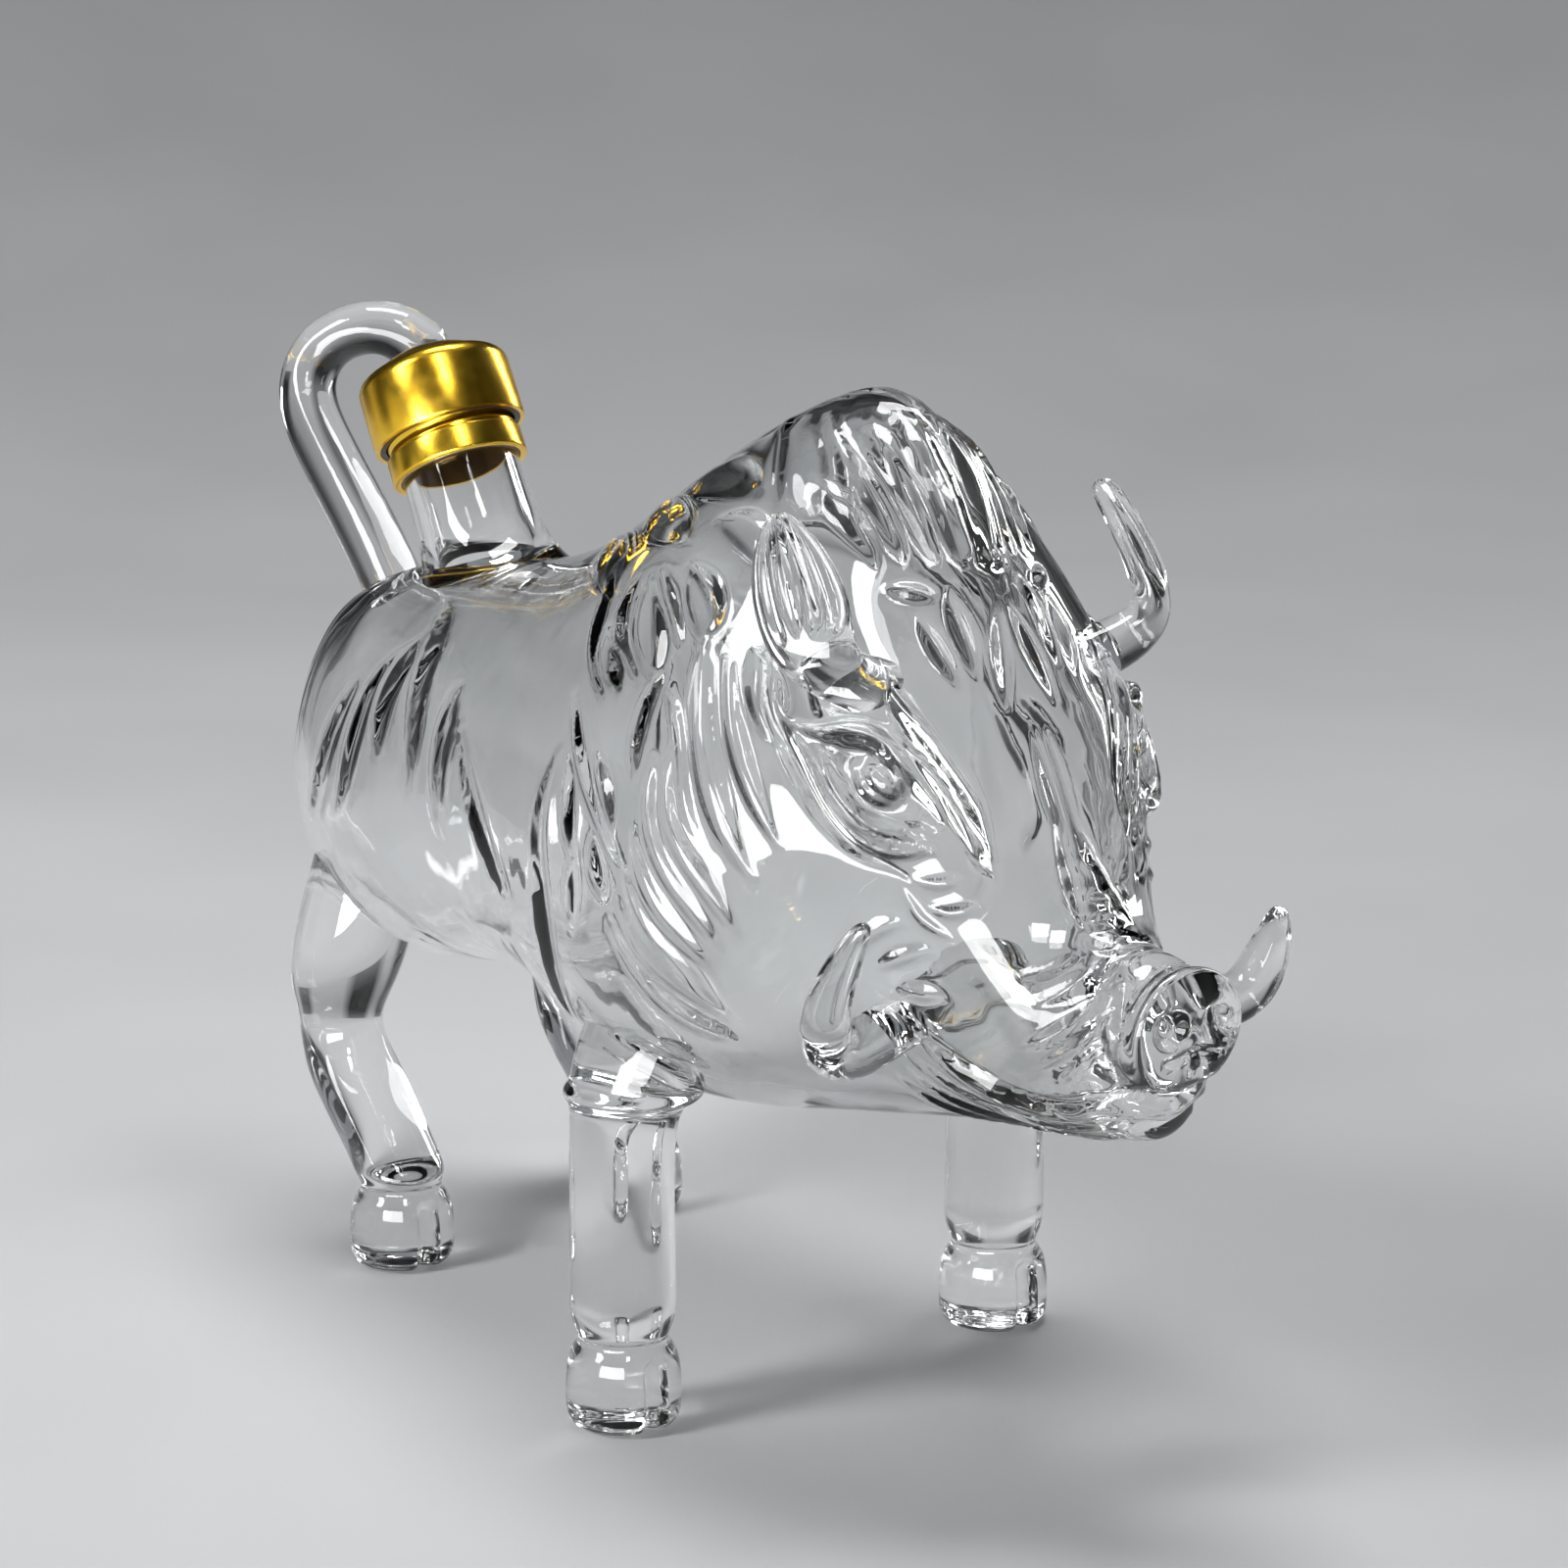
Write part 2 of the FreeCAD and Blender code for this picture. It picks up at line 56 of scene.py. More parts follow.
# Along the body, underside, back, half width, height of the widest line, narrowing of the back, of the belly
body_station_shares = [
    (0.000, 0.500, 0.632, 0.159, 0.566, 1.00, 1.00),
    (0.010, 0.441, 0.678, 0.318, 0.559, 1.00, 1.00),
    (0.034, 0.382, 0.714, 0.477, 0.539, 1.00, 1.00),
    (0.078, 0.342, 0.734, 0.614, 0.526, 1.00, 0.95),
    (0.147, 0.319, 0.747, 0.727, 0.513, 1.00, 0.90),
    (0.225, 0.326, 0.763, 0.795, 0.513, 1.00, 0.90),
    (0.314, 0.345, 0.786, 0.818, 0.533, 1.05, 0.90),
    (0.412, 0.345, 0.832, 0.864, 0.539, 1.15, 0.85),
    (0.510, 0.322, 0.905, 0.943, 0.520, 1.20, 0.72),
    (0.598, 0.306, 0.967, 1.000, 0.513, 1.25, 0.68),
    (0.681, 0.309, 1.000, 0.977, 0.539, 1.60, 0.80),
    (0.745, 0.319, 0.957, 0.840, 0.592, 2.10, 0.95),
    (0.794, 0.329, 0.850, 0.670, 0.634, 2.00, 0.95),
    (0.833, 0.339, 0.745, 0.515, 0.630, 1.25, 0.95),
    (0.873, 0.345, 0.632, 0.380, 0.535, 1.25, 0.95),
    (0.917, 0.352, 0.556, 0.300, 0.458, 1.30, 0.95),
    (0.961, 0.362, 0.533, 0.245, 0.447, 1.10, 0.95),
    (0.986, 0.395, 0.528, 0.222, 0.464, 1.00, 1.00),
    (1.000, 0.438, 0.522, 0.195, 0.480, 1.00, 1.00),
]

# Mesh fineness
body_rows = 262
body_columns = 300
inner_rows = 90
inner_row_power = 1.3
inner_columns = 80
limb_rows = 110
leg_rows = 150
limb_columns = 72
lathe_columns = 128
sharp_angle = math.radians(50)
spacing_samples = 2001
table_rows = 401
table_columns = 721
# Along the body, how closely its rows lie
row_density_shares = [
    (0.00, 1.6), (0.04, 1.0), (0.48, 1.0), (0.58, 1.9), (0.74, 2.4),
    (0.77, 4.2), (0.87, 4.2), (0.90, 2.8), (1.00, 2.8),
]
# Down a side, how closely its columns lie
column_density_shares = [
    (0.00, 1.2), (0.17, 1.5), (0.21, 2.3), (0.43, 2.3), (0.50, 1.4), (0.65, 1.0), (0.80, 0.6), (1.00, 0.6),
]

# Relief: half width, height, steepness of the edge, then strokes of places in thousandths
relief = [
    # Long blades of the mane behind the cheek
    (1.5, 1.3, 3, [
        [(708, 332), (732, 400), (755, 451), (770, 486)],
        [(688, 426), (693, 469), (707, 513), (727, 556), (742, 604)],
        [(673, 435), (680, 483), (698, 537), (717, 579), (730, 621)],
        [(667, 499), (683, 550), (702, 593), (723, 639)], [(662, 544), (682, 592), (703, 632), (718, 671)],
        [(657, 572), (682, 621), (707, 665), (723, 701)], [(645, 590), (672, 639), (692, 685), (720, 731)],
    ]),
    (2.2, 1.4, 3, [
        [(685, 325), (712, 415), (733, 479), (755, 537)], [(723, 317), (740, 352), (756, 381)],
    ]),
    # Short blades on the shoulder
    (1.4, 1.1, 3, [
        [(612, 433), (635, 471), (645, 500)], [(622, 508), (633, 544), (644, 568)],
        [(602, 530), (598, 598)], [(575, 430), (585, 480), (600, 530)],
    ]),
    # Thin edges among the blades
    (0.9, 1.2, 2, [
        [(660, 350), (653, 404), (660, 453)], [(670, 369), (695, 419), (710, 481), (725, 519)],
        [(557, 365), (587, 426), (627, 489), (658, 544)], [(578, 246), (582, 286), (612, 332), (637, 364)],
        [(608, 246), (648, 294), (667, 329)], [(637, 242), (685, 288), (690, 312)],
        [(535, 232), (567, 328), (600, 378)], [(607, 40), (658, 118), (682, 171)],
        [(657, 49), (692, 86), (722, 124), (735, 149)], [(768, 154), (777, 128), (787, 96)],
        [(788, 30), (795, 0)],
    ]),
    # Broad leaves of hair on the hump
    (3.4, 1.1, 4, [
        [(600, 256), (625, 304), (655, 361)], [(640, 56), (680, 111), (705, 156)],
        [(553, 115), (627, 138), (660, 160)], [(500, 110), (560, 165), (610, 205)],
        [(440, 120), (500, 190), (545, 255)],
    ]),
    (2.6, 1.1, 4, [
        [(645, 251), (672, 285), (685, 319)], [(570, 299), (592, 333), (615, 368)],
        [(642, 193), (677, 204), (705, 236)],
    ]),
    # Combed lines along the crest
    (0.8, -0.6, 2, [
        [(640, 22), (675, 18), (705, 12), (735, 8), (757, 10)],
        [(675, 39), (705, 30), (737, 20), (755, 22)], [(692, 54), (720, 40), (740, 30)],
        [(600, 20), (630, 14), (660, 6)],
    ]),
    # Locks combed down the forehead and the drops below them
    (1.6, 1.2, 3, [
        [(690, 80), (715, 98), (740, 107), (764, 112)], [(700, 54), (725, 67), (750, 74), (776, 74)],
        [(712, 32), (736, 41), (760, 43), (788, 38)], [(718, 8), (742, 13), (767, 14), (794, 8)],
        [(694, 128), (716, 136), (738, 142), (756, 148)],
    ]),
    (1.2, 0.9, 3, [
        [(806, 8), (820, 30), (836, 52)], [(788, 133), (805, 128), (822, 122)],
        [(790, 80), (806, 82), (822, 86)],
    ]),
    # Eye: its hollow, the ball, the rings below it, the lid and the double brow
    (4.8, -2.0, 6, [[(788, 346), (804, 338), (824, 324), (846, 290)]]),
    (3.3, 3.1, 4, [[(819, 323)]]),
    (0.6, -0.9, 2, [[(830, 323), (820, 342), (809, 325), (818, 305), (829, 318)]]),
    (1.1, 2.6, 2, [[(766, 366), (778, 374), (797, 399), (815, 414), (833, 393), (850, 325)]]),
    (0.9, 2.2, 2, [[(782, 352), (796, 373), (808, 386), (822, 386), (842, 342)]]),
    (0.8, -0.9, 2, [[(774, 360), (788, 378), (802, 396), (818, 401), (834, 380)]]),
    (1.2, 2.6, 2, [[(765, 352), (777, 340), (796, 304), (813, 282), (828, 274), (848, 269)]]),
    (1.2, 2.6, 2, [[(790, 220), (806, 224), (822, 222), (842, 214), (855, 203), (868, 216)]]),
    (0.9, 2.0, 2, [[(814, 258), (826, 252), (840, 244), (853, 243), (864, 246)]]),
    (0.9, -1.2, 2, [[(808, 243), (826, 238), (846, 229), (860, 228)], [(860, 258), (872, 240)]]),
    (1.1, -1.9, 2, [[(735, 315), (750, 360), (772, 388), (797, 424), (816, 440), (838, 420)]]),
    (0.7, 0.6, 2, [
        [(840, 420), (854, 368), (866, 296)], [(848, 440), (862, 388), (874, 310)],
        [(836, 448), (846, 470), (862, 440)],
    ]),
    # Leaves of hair round the tusk
    (1.0, 0.7, 2, [
        [(813, 617), (833, 568), (850, 514)], [(823, 647), (835, 633), (852, 601)],
        [(806, 590), (818, 550), (834, 510)],
    ]),
    # Wrinkles of the muzzle and across its bridge
    (0.8, -0.6, 2, [
        [(955, 250), (940, 386), (918, 499)], [(972, 294), (957, 401), (933, 533)],
        [(940, 181), (928, 308), (914, 400)], [(925, 169), (914, 285), (902, 360)],
        [(970, 438), (953, 511), (937, 600)], [(948, 330), (930, 455), (908, 550)],
        [(964, 350), (946, 460), (920, 580)],
    ]),
    (0.8, -0.28, 2, [
        [(907, 144), (913, 60), (915, 0), (911, -60), (905, -134)],
        [(894, 150), (899, 64), (902, 0), (903, -64), (899, -120)],
        [(918, 106), (926, 50), (926, 0), (922, -30)],
        [(928, 146), (938, 89), (943, 0), (940, -89), (932, -126)], [(934, 80), (934, 20), (931, -40)],
        [(951, 120), (955, 40), (954, -60)], [(882, 130), (888, 60), (889, 0), (892, -60)],
    ]),
    (1.0, 0.8, 2, [[(872, 30), (888, 46), (902, 70), (916, 100)], [(846, 12), (866, 16), (886, 14)]]),
    # Mouth, lower lip and the ribs of the jaw
    (0.9, -1.6, 2, [[(823, 701), (843, 750), (872, 762), (915, 718), (945, 668), (966, 652), (980, 700)]]),
    (1.0, -1.0, 2, [[(962, 648), (981, 690), (989, 800), (991, 1000), (989, 1200), (981, 1310)]]),
    (1.3, 1.2, 2, [[(920, 742), (948, 706), (964, 708), (974, 780)]]),
    (2.2, 0.5, 3, [[(958, 760), (968, 850), (972, 1000), (968, 1150), (958, 1240)]]),
    (1.0, 0.9, 2, [
        [(812, 742), (827, 814), (850, 860), (903, 850), (955, 800), (980, 830)],
        [(807, 781), (823, 868), (855, 927), (912, 905), (962, 880)],
        [(827, 721), (850, 800), (893, 793), (930, 765)], [(800, 820), (826, 930), (870, 972), (930, 960)],
    ]),
    # Folds beside the snout
    (0.8, -0.8, 2, [[(967, 176), (976, 339), (984, 472)], [(962, 349), (966, 438), (976, 551)]]),
    # Flutes of the rump, the flank and the shoulder
    (2.0, 1.3, 3, [
        [(242, 176), (272, 238), (292, 317), (315, 413), (323, 503)],
        [(268, 225), (257, 282), (252, 354), (267, 450)],
        [(255, 249), (232, 303), (220, 383), (217, 469), (200, 532)],
        [(187, 312), (177, 396), (167, 457), (140, 553)], [(352, 321), (360, 396), (370, 482), (377, 540)],
    ]),
    (1.8, -0.8, 2, [
        [(385, 396), (445, 519), (497, 601)], [(558, 426), (545, 486), (553, 567), (553, 671), (537, 744)],
        [(118, 704), (140, 751), (162, 797), (185, 836)],
    ]),
]
stroke_units = 1000
stroke_samples = 48
stroke_reach = 2.6
blunt_share = 0.12
narrowing_power = 0.6
# Height of the slow waves left by blowing, and the wave lengths along each axis
wave_height = 0.10
wave_lengths = [(31.0, 47.0, 26.0), (19.0, 23.0, 37.0), (43.0, 17.0, 21.0)]

# Snout disc
snout_bulge = 0.8
rump_bulge = 1.6
nostril_radius = 2.3
nostril_depth = 1.9
nostril_steepness = 4
nostril_spread = 8.4
nostril_height_share = 0.478
snout_rim_height = 0.7
snout_rim_share = 0.996
snout_rim_width = 1.2
snout_neck_share = 0.979
snout_neck_width = 1.8
snout_solid_length = 9.0
disc_rows = 24
# Grooves of the disc, from and to places aside from and above the middle of the nostrils
snout_grooves = [((-7.0, -5.4), (0.0, -3.6)), ((0.0, -3.6), (7.0, -5.4)), ((0.0, -3.6), (0.0, -7.0))]
snout_groove_depth = 0.7
snout_groove_width = 0.6
rump_rows = 5

# Neck, collar and cap
neck_place_share = 0.17
neck_lean = 29.0
neck_outer_radius = 9.8
neck_bore_radius = 7.7
neck_flare_width = 1.7
neck_flare_fall = 5.0
neck_flare_reach = 1.6
neck_flare_height = 8.0
neck_flare_falls = 3
neck_flare_points = 28
neck_lip_points = 13
neck_root_depth = 16.0
neck_free_length = 16.5
bond_thickness = 0.3
bond_corner = 0.1
collar_corner = 0.5
collar_flange_radius = 11.5
collar_flange_height = 4.4
thread_radius = 10.8
thread_length = 9.0
rim_stand_out = 1.0
thread_clearance = 0.3
insert_wall = 1.0
cap_wall = 0.8
cap_gap = 2.0
cap_dome_height = 4.2
cap_dome_points = 14
cap_edge_radius = 2.6
cap_edge_points = 12
cap_foot_height = 0.4
cap_foot_step = 0.15
seal_corner = 0.3
seal_thickness = 1.6
seal_clearance = 0.25
seal_gap = 0.1
thread_pitch = 7.6 / 3
thread_depth = 0.45
thread_slope = 4
thread_crest = 0.5
thread_step = 0.2
wall_tolerance = 0.02
corner_steps = 5
corner_share = 0.45

# Legs
front_leg_place_share = 0.601
front_leg_spread_share = 0.814
front_leg_radius = 7.7
front_leg_height = 54.0
rear_leg_place_share = 0.201
rear_leg_spread_share = 0.532
rear_leg_radius = 7.6
rear_leg_height = 46.0
rear_leg_step_back = 18.0
hoof_radius = 8.3
hoof_height = 12.0
cleft_depth = 2.4
cleft_width = 2.2
cleft_fade = 2.0
weld_height = 50.5
weld_half_width = 1.2
weld_bead = 0.9
# Height and radius of the hoof's guide rings
hoof_ring_shares = [
    (0.00, 0.60), (0.00, 1.00), (0.30, 1.05), (0.70, 1.03), (0.98, 0.95), (1.10, 0.74), (1.30, 0.92),
]
# Height, step back, step in and radius of a leg's guide rings
front_ring_shares = [
    (0.36, 0.00, 0.00, 1.03),
    (0.55, 0.00, 0.00, 1.00),
    (0.80, 0.00, 0.00, 1.00),
    (0.90, 0.00, 0.02, 1.05),
    (0.97, 0.00, 0.10, 1.40),
    (1.12, 0.00, 0.22, 1.55),
    (1.50, 0.00, 0.50, 1.50),
]
rear_ring_shares = [
    (0.40, 0.14, 0.00, 0.98),
    (0.52, 0.46, 0.00, 1.03),
    (0.66, 0.82, 0.00, 1.04),
    (0.78, 1.02, 0.00, 0.88),
    (0.88, 1.00, 0.00, 0.95),
    (1.00, 0.92, 0.00, 1.25),
    (1.20, 0.80, 0.05, 1.35),
    (1.60, 0.75, 0.30, 1.30),
]

# Ears
ear_place_share = 0.780
ear_root_height_share = 0.743
ear_root_span_share = 0.318
ear_reach_out = 17.0
ear_rise = 24.5
ear_sweep_back = 8.0
ear_width = 12.8
ear_thickness = 5.0
ear_rib_height = 0.38
ear_ribs = 2.5
ear_leaf_start = 0.40
ear_leaf_end = 0.99
ear_leaf_fade = 0.1
# Way back, out and up along the middle of the ear, then its width and thickness
ear_ring_shares = [
    (0.00, 0.00, 0.00, 0.70, 1.70),
    (-0.15, 0.40, 0.05, 0.72, 1.70),
    (-0.36, 0.80, 0.16, 0.74, 1.60),
    (-0.36, 1.00, 0.30, 0.90, 1.25),
    (-0.12, 1.02, 0.50, 1.04, 0.95),
    (0.34, 0.99, 0.74, 0.92, 0.85),
    (0.76, 0.93, 0.93, 0.52, 0.70),
    (0.95, 0.90, 1.00, 0.28, 0.50),
    (0.98, 0.90, 1.015, 0.05, 0.10),
]

# Tusks
tusk_root_height_share = 0.457
tusk_root_span_share = 0.273
tusk_reach_out = 24.0
tusk_drop = 4.0
tusk_radius = 4.0
tusk_right_place_share = 0.815
tusk_right_rise = 17.3
tusk_right_sweep = 13.5
tusk_left_place_share = 0.878
tusk_left_rise = 9.5
tusk_left_sweep = 4.5
# Way forward, out, up (down as a share of the drop) along the middle of the tusk, then its radius
tusk_ring_shares = [
    (0.00, 0.00, 0.00, 1.00),
    (0.00, 0.25, -0.20, 1.00),
    (0.00, 0.48, -0.80, 1.00),
    (0.08, 0.76, -1.10, 1.00),
    (0.22, 0.96, -0.55, 0.96),
    (0.40, 1.03, 0.24, 0.84),
    (0.66, 1.04, 0.60, 0.63),
    (0.92, 1.02, 0.93, 0.40),
    (1.00, 1.01, 1.01, 0.24),
    (1.01, 1.01, 1.02, 0.04),
]

# Tail
tail_root_height_share = 0.678
tail_top_height = 152.0
tail_curl_aside = 18.0
tail_radius = 5.3
# Way back past the rump, aside and up along the middle of the tail, then its radius
tail_ring_shares = [
    (-0.33, 0.00, 0.00, 1.00),
    (-0.08, 0.00, 0.16, 1.00),
    (0.33, 0.00, 0.39, 1.00),
    (0.76, 0.00, 0.60, 1.00),
    (1.06, 0.05, 0.78, 1.00),
    (1.08, 0.22, 0.95, 1.00),
    (0.86, 0.50, 1.05, 1.00),
    (0.67, 0.78, 1.04, 1.00),
    (0.57, 0.96, 0.98, 1.00),
    (0.53, 1.04, 0.93, 0.98),
    (0.52, 1.07, 0.90, 0.60),
    (0.52, 1.075, 0.898, 0.06),
]
ring_points = 8
weld_gap = 0.05


def along(share):
    """X of a place given as a share of the body's length."""
    return rear_x + share * body_length


def spline(knots, values, at, closed=False):
    """Cubic spline through rows of values at rising knots, read at other places."""
    k = np.asarray(knots, float)
    v = np.asarray(values, float)
    n = len(k)
    h = np.diff(k)
    system = np.zeros((n, n))
    right = np.zeros_like(v)
    for i in range(1, n - 1):
        system[i, i - 1:i + 2] = h[i - 1], 2 * (h[i - 1] + h[i]), h[i]
        right[i] = 6 * ((v[i + 1] - v[i]) / h[i] - (v[i] - v[i - 1]) / h[i - 1])
    if closed:
        system[0, [0, 1, -2]] = 2 * (h[0] + h[-1]), h[0], h[-1]
        right[0] = 6 * ((v[1] - v[0]) / h[0] - (v[-1] - v[-2]) / h[-1])
        system[-1, [0, -1]] = 1, -1
    else:
        system[0, 0] = system[-1, -1] = 1
    bend = np.linalg.solve(system, right.reshape(n, -1)).reshape(v.shape)
    i = np.clip(np.searchsorted(k, at, side="right") - 1, 0, n - 2)
    spread = (-1,) + (1,) * (v.ndim - 1)
    t = ((at - k[i]) / h[i]).reshape(spread)
    step = h[i].reshape(spread)
    curve = ((1 - t) ** 3 - (1 - t)) * bend[i] + (t ** 3 - t) * bend[i + 1]
    return (1 - t) * v[i] + t * v[i + 1] + step ** 2 / 6 * curve


def power(value, exponent):
    """Signed power, which keeps the side that a value is on."""
    return np.sign(value) * np.abs(value) ** exponent


def body_section(station, round_shares):
    """Outline across the body at shares of its way round, from the back over the right side."""
    _, low, high, half, waist, crown, keel = station
    turn = 2 * np.pi * np.arange(section_points + 1) / section_points
    side, rise = -np.sin(turn), np.cos(turn)
    y = body_width / 2 * half * np.where(rise > tiny, power(side, crown), power(side, keel))
    z = hump_height * (waist + np.where(rise > 0, high - waist, waist - low) * rise)
    points = np.stack([y, z], 1)
    points[-1] = points[0]
    way = np.append(0, np.cumsum(np.linalg.norm(np.diff(points, axis=0), axis=1)))
    return spline(way / way[-1], points, round_shares, True)


def body_surface(along_shares, round_shares):
    """Smooth body as a grid of points: rows along it, columns round it."""
    sections = np.array([body_section(s, round_shares) for s in body_station_shares])
    yz = spline([s[0] for s in body_station_shares], sections, along_shares)
    x = np.broadcast_to(along(along_shares)[:, None, None], yz.shape[:2] + (1,))
    return np.concatenate([x, yz], 2)


def outward(grid):
    """Unit normals of a grid whose rows run along and whose columns run round and close."""
    along_way = np.gradient(grid, axis=0)
    round_way = np.roll(grid, -1, 1) - np.roll(grid, 1, 1)
    normal = np.cross(along_way, round_way)
    away = grid - grid.mean(axis=1, keepdims=True)
    normal *= np.sign((normal * away).sum())
    return normal / np.maximum(np.linalg.norm(normal, axis=2, keepdims=True), tiny)


body_table = body_surface(np.linspace(0, 1, table_rows), np.linspace(0, 1, table_columns))


def on_body(places):
    """Points of the right side at (along, down) shares, or of the left past the back and the keel."""
    a = np.clip(places[:, 0], 0, 1) * (table_rows - 1)
    d = places[:, 1] / 2 % 1 * (table_columns - 1)
    i = np.minimum(a.astype(int), table_rows - 2)
    j = np.minimum(d.astype(int), table_columns - 2)
    u, v = (a - i)[:, None], (d - j)[:, None]
    near = (1 - v) * body_table[i, j] + v * body_table[i, j + 1]
    far = (1 - v) * body_table[i + 1, j] + v * body_table[i + 1, j + 1]
    return (1 - u) * near + u * far


def stroke_line(places):
    """Smooth line of points along a stroke; a single place makes a round dab."""
    places = np.array(places) / stroke_units
    if len(places) == 1:
        return on_body(places)
    steps = np.linalg.norm(np.diff(on_body(places), axis=0), axis=1)
    way = np.append(0, np.cumsum(steps))
    return on_body(spline(way / way[-1], places, np.linspace(0, 1, stroke_samples)))


def press(heights, points, line, half_width, height, steepness):
    """Adds one stroke's relief to the heights of the points near it."""
    reach = stroke_reach * half_width
    near = np.where(((points > line.min(0) - reach) & (points < line.max(0) + reach)).all(1))[0]
    squares = ((points[near, None] - line[None]) ** 2).sum(2)
    closest = squares.argmin(1)
    away = squares.min(1)
    place = np.full(len(near), 0.5)
    if len(line) > 1:
        place = closest / (len(line) - 1)
        for start in (np.maximum(closest - 1, 0), np.minimum(closest, len(line) - 2)):
            way = line[start + 1] - line[start]
            from_start = points[near] - line[start]
            share = np.clip((from_start * way).sum(1) / (way ** 2).sum(1), 0, 1)
            to_line = ((from_start - share[:, None] * way) ** 2).sum(1)
            closer = to_line < away
            place = np.where(closer, (start + share) / (len(line) - 1), place)
            away = np.where(closer, to_line, away)
    narrowing = np.maximum(np.sin(np.pi * place), blunt_share) ** narrowing_power
    distance = np.sqrt(away) / (half_width * narrowing)
    heights[near] += height * narrowing * np.exp(-distance ** steepness)


def body_relief(points):
    """Height of the pressed relief at points of the smooth body."""
    heights = np.zeros(len(points))
    for half_width, height, steepness, strokes in relief:
        for places in strokes:
            line = stroke_line(places)
            press(heights, points, line, half_width, height, steepness)
            press(heights, points, line * (1, -1, 1), half_width, height, steepness)
    return heights


def eased(heights):
    """Relief with its finest steps melted, as the surface of hot glass melts them."""
    beside = np.roll(heights, 1, 1) + np.roll(heights, -1, 1)
    before = np.concatenate([heights[:1], heights[:-1]])
    after = np.concatenate([heights[1:], heights[-1:]])
    return heights / 2 + (beside + before + after) / 8


def waves(points):
    """Slow unevenness of blown glass."""
    total = np.zeros(points.shape[:-1])
    for lengths in wave_lengths:
        total += np.sin((points * (2 * np.pi / np.array(lengths))).sum(-1))
    return wave_height * total / len(wave_lengths)


def drawn_together(even_shares, density_shares, both_sides=False):
    """Even shares moved closer together where the density is high, down one side or both."""
    places = np.linspace(0, 1, spacing_samples)
    read_at = 1 - np.abs(2 * places - 1) if both_sides else places
    passed = np.append(0, np.cumsum(np.interp(read_at, *np.array(density_shares).T)[1:]))
    return np.interp(even_shares, passed / passed[-1], places)


def end_rings(ring, rows, bulge):
    """Rings that close a flat end, shrinking to its middle over a slight bulge along X."""
    middle = ring.mean(0)
    shares = np.linspace(1, 0, rows + 1)[1:-1, None, None]
    rings = middle + (ring - middle) * shares
    rings[:, :, 0] += bulge * (1 - shares[:, :, 0] ** 2)
    return rings, middle + (bulge, 0, 0)


def snout_relief(points):
    """Way that the snout disc sinks back at its nostrils and grooves."""
    height = nostril_height_share * hump_height
    depth = np.zeros(points.shape[:-1])
    for side in (-1, 1):
        away = np.hypot(points[..., 1] - side * nostril_spread / 2, points[..., 2] - height)
        depth -= nostril_depth * np.exp(-(away / nostril_radius) ** nostril_steepness)
    for start, end in snout_grooves:
        start, end = np.array(start), np.array(end)
        from_start = points[..., 1:] - (0, height) - start
        share = np.clip((from_start @ (end - start)) / ((end - start) ** 2).sum(), 0, 1)
        away = np.linalg.norm(from_start - share[..., None] * (end - start), axis=-1)
        depth -= snout_groove_depth * np.exp(-(away / snout_groove_width) ** 2)
    return depth


def grid_quads(rows, columns):
    """Quads between the rings of a grid that closes round."""
    i, j = np.meshgrid(np.arange(rows - 1), np.arange(columns), indexing="ij")
    k = (j + 1) % columns
    a = i * columns
    return np.stack([a + j, a + k, a + columns + k, a + columns + j], 2).reshape(-1, 4)


def halved(quads):
    """Triangles of quads that are split from their first corner."""
    return np.concatenate([quads[:, [0, 1, 2]], quads[:, [0, 2, 3]]])


def halfway(before, start, end, after):
    """Points halfway along the cubic curves through four even points each."""
    return (9 * (start + end) - before - after) / 16


def ridge_faces(rings):
    """Triangles of a grid that closes round, with diagonals laid along the ridges and grooves."""
    beside = halfway(np.roll(rings, 1, 1), rings, np.roll(rings, -1, 1), np.roll(rings, -2, 1))
    padded = np.concatenate([beside[:1], beside, beside[-1:]])
    middles = halfway(padded[:-3], padded[1:-2], padded[2:-1], padded[3:])
    quads = grid_quads(*rings.shape[:2])
    corners = rings.reshape(-1, 3)[quads]
    diagonal_middles = (corners[:, :2] + corners[:, 2:]) / 2
    misses = np.linalg.norm(diagonal_middles - middles.reshape(-1, 1, 3), axis=2)
    turned = misses[:, 1] < misses[:, 0]
    quads[turned] = np.roll(quads[turned], -1, 1)
    return halved(quads)


def closed_skin(rings, start, end, ridged=False):
    """Points and triangles of rings closed by a middle point at each end."""
    rows, columns = rings.shape[:2]
    points = np.concatenate([rings.reshape(-1, 3), [start, end]])
    j = np.arange(columns)
    k = (j + 1) % columns
    last = (rows - 1) * columns
    start_fan = np.stack([np.full(columns, rows * columns), k, j], 1)
    end_fan = np.stack([np.full(columns, rows * columns + 1), last + j, last + k], 1)
    sides = ridge_faces(rings) if ridged else halved(grid_quads(rows, columns))
    return points, np.concatenate([sides, start_fan, end_fan])


def facing(points, faces, out=True):
    """Triangles turned to look out of a closed skin, or into it."""
    a, b, c = points[faces].transpose(1, 0, 2)
    volume = (a * np.cross(b, c)).sum()
    return faces if (volume > 0) == out else faces[:, ::-1]


def make_object(name, points, faces):
    """Smooth-shaded mesh object from millimetres."""
    mesh = bpy.data.meshes.new(name)
    mesh.from_pydata((points * MM).tolist(), [], faces.tolist())
    mesh.shade_smooth()
    mesh.update()
    piece = bpy.data.objects.new(name, mesh)
    scene.collection.objects.link(piece)
    return piece


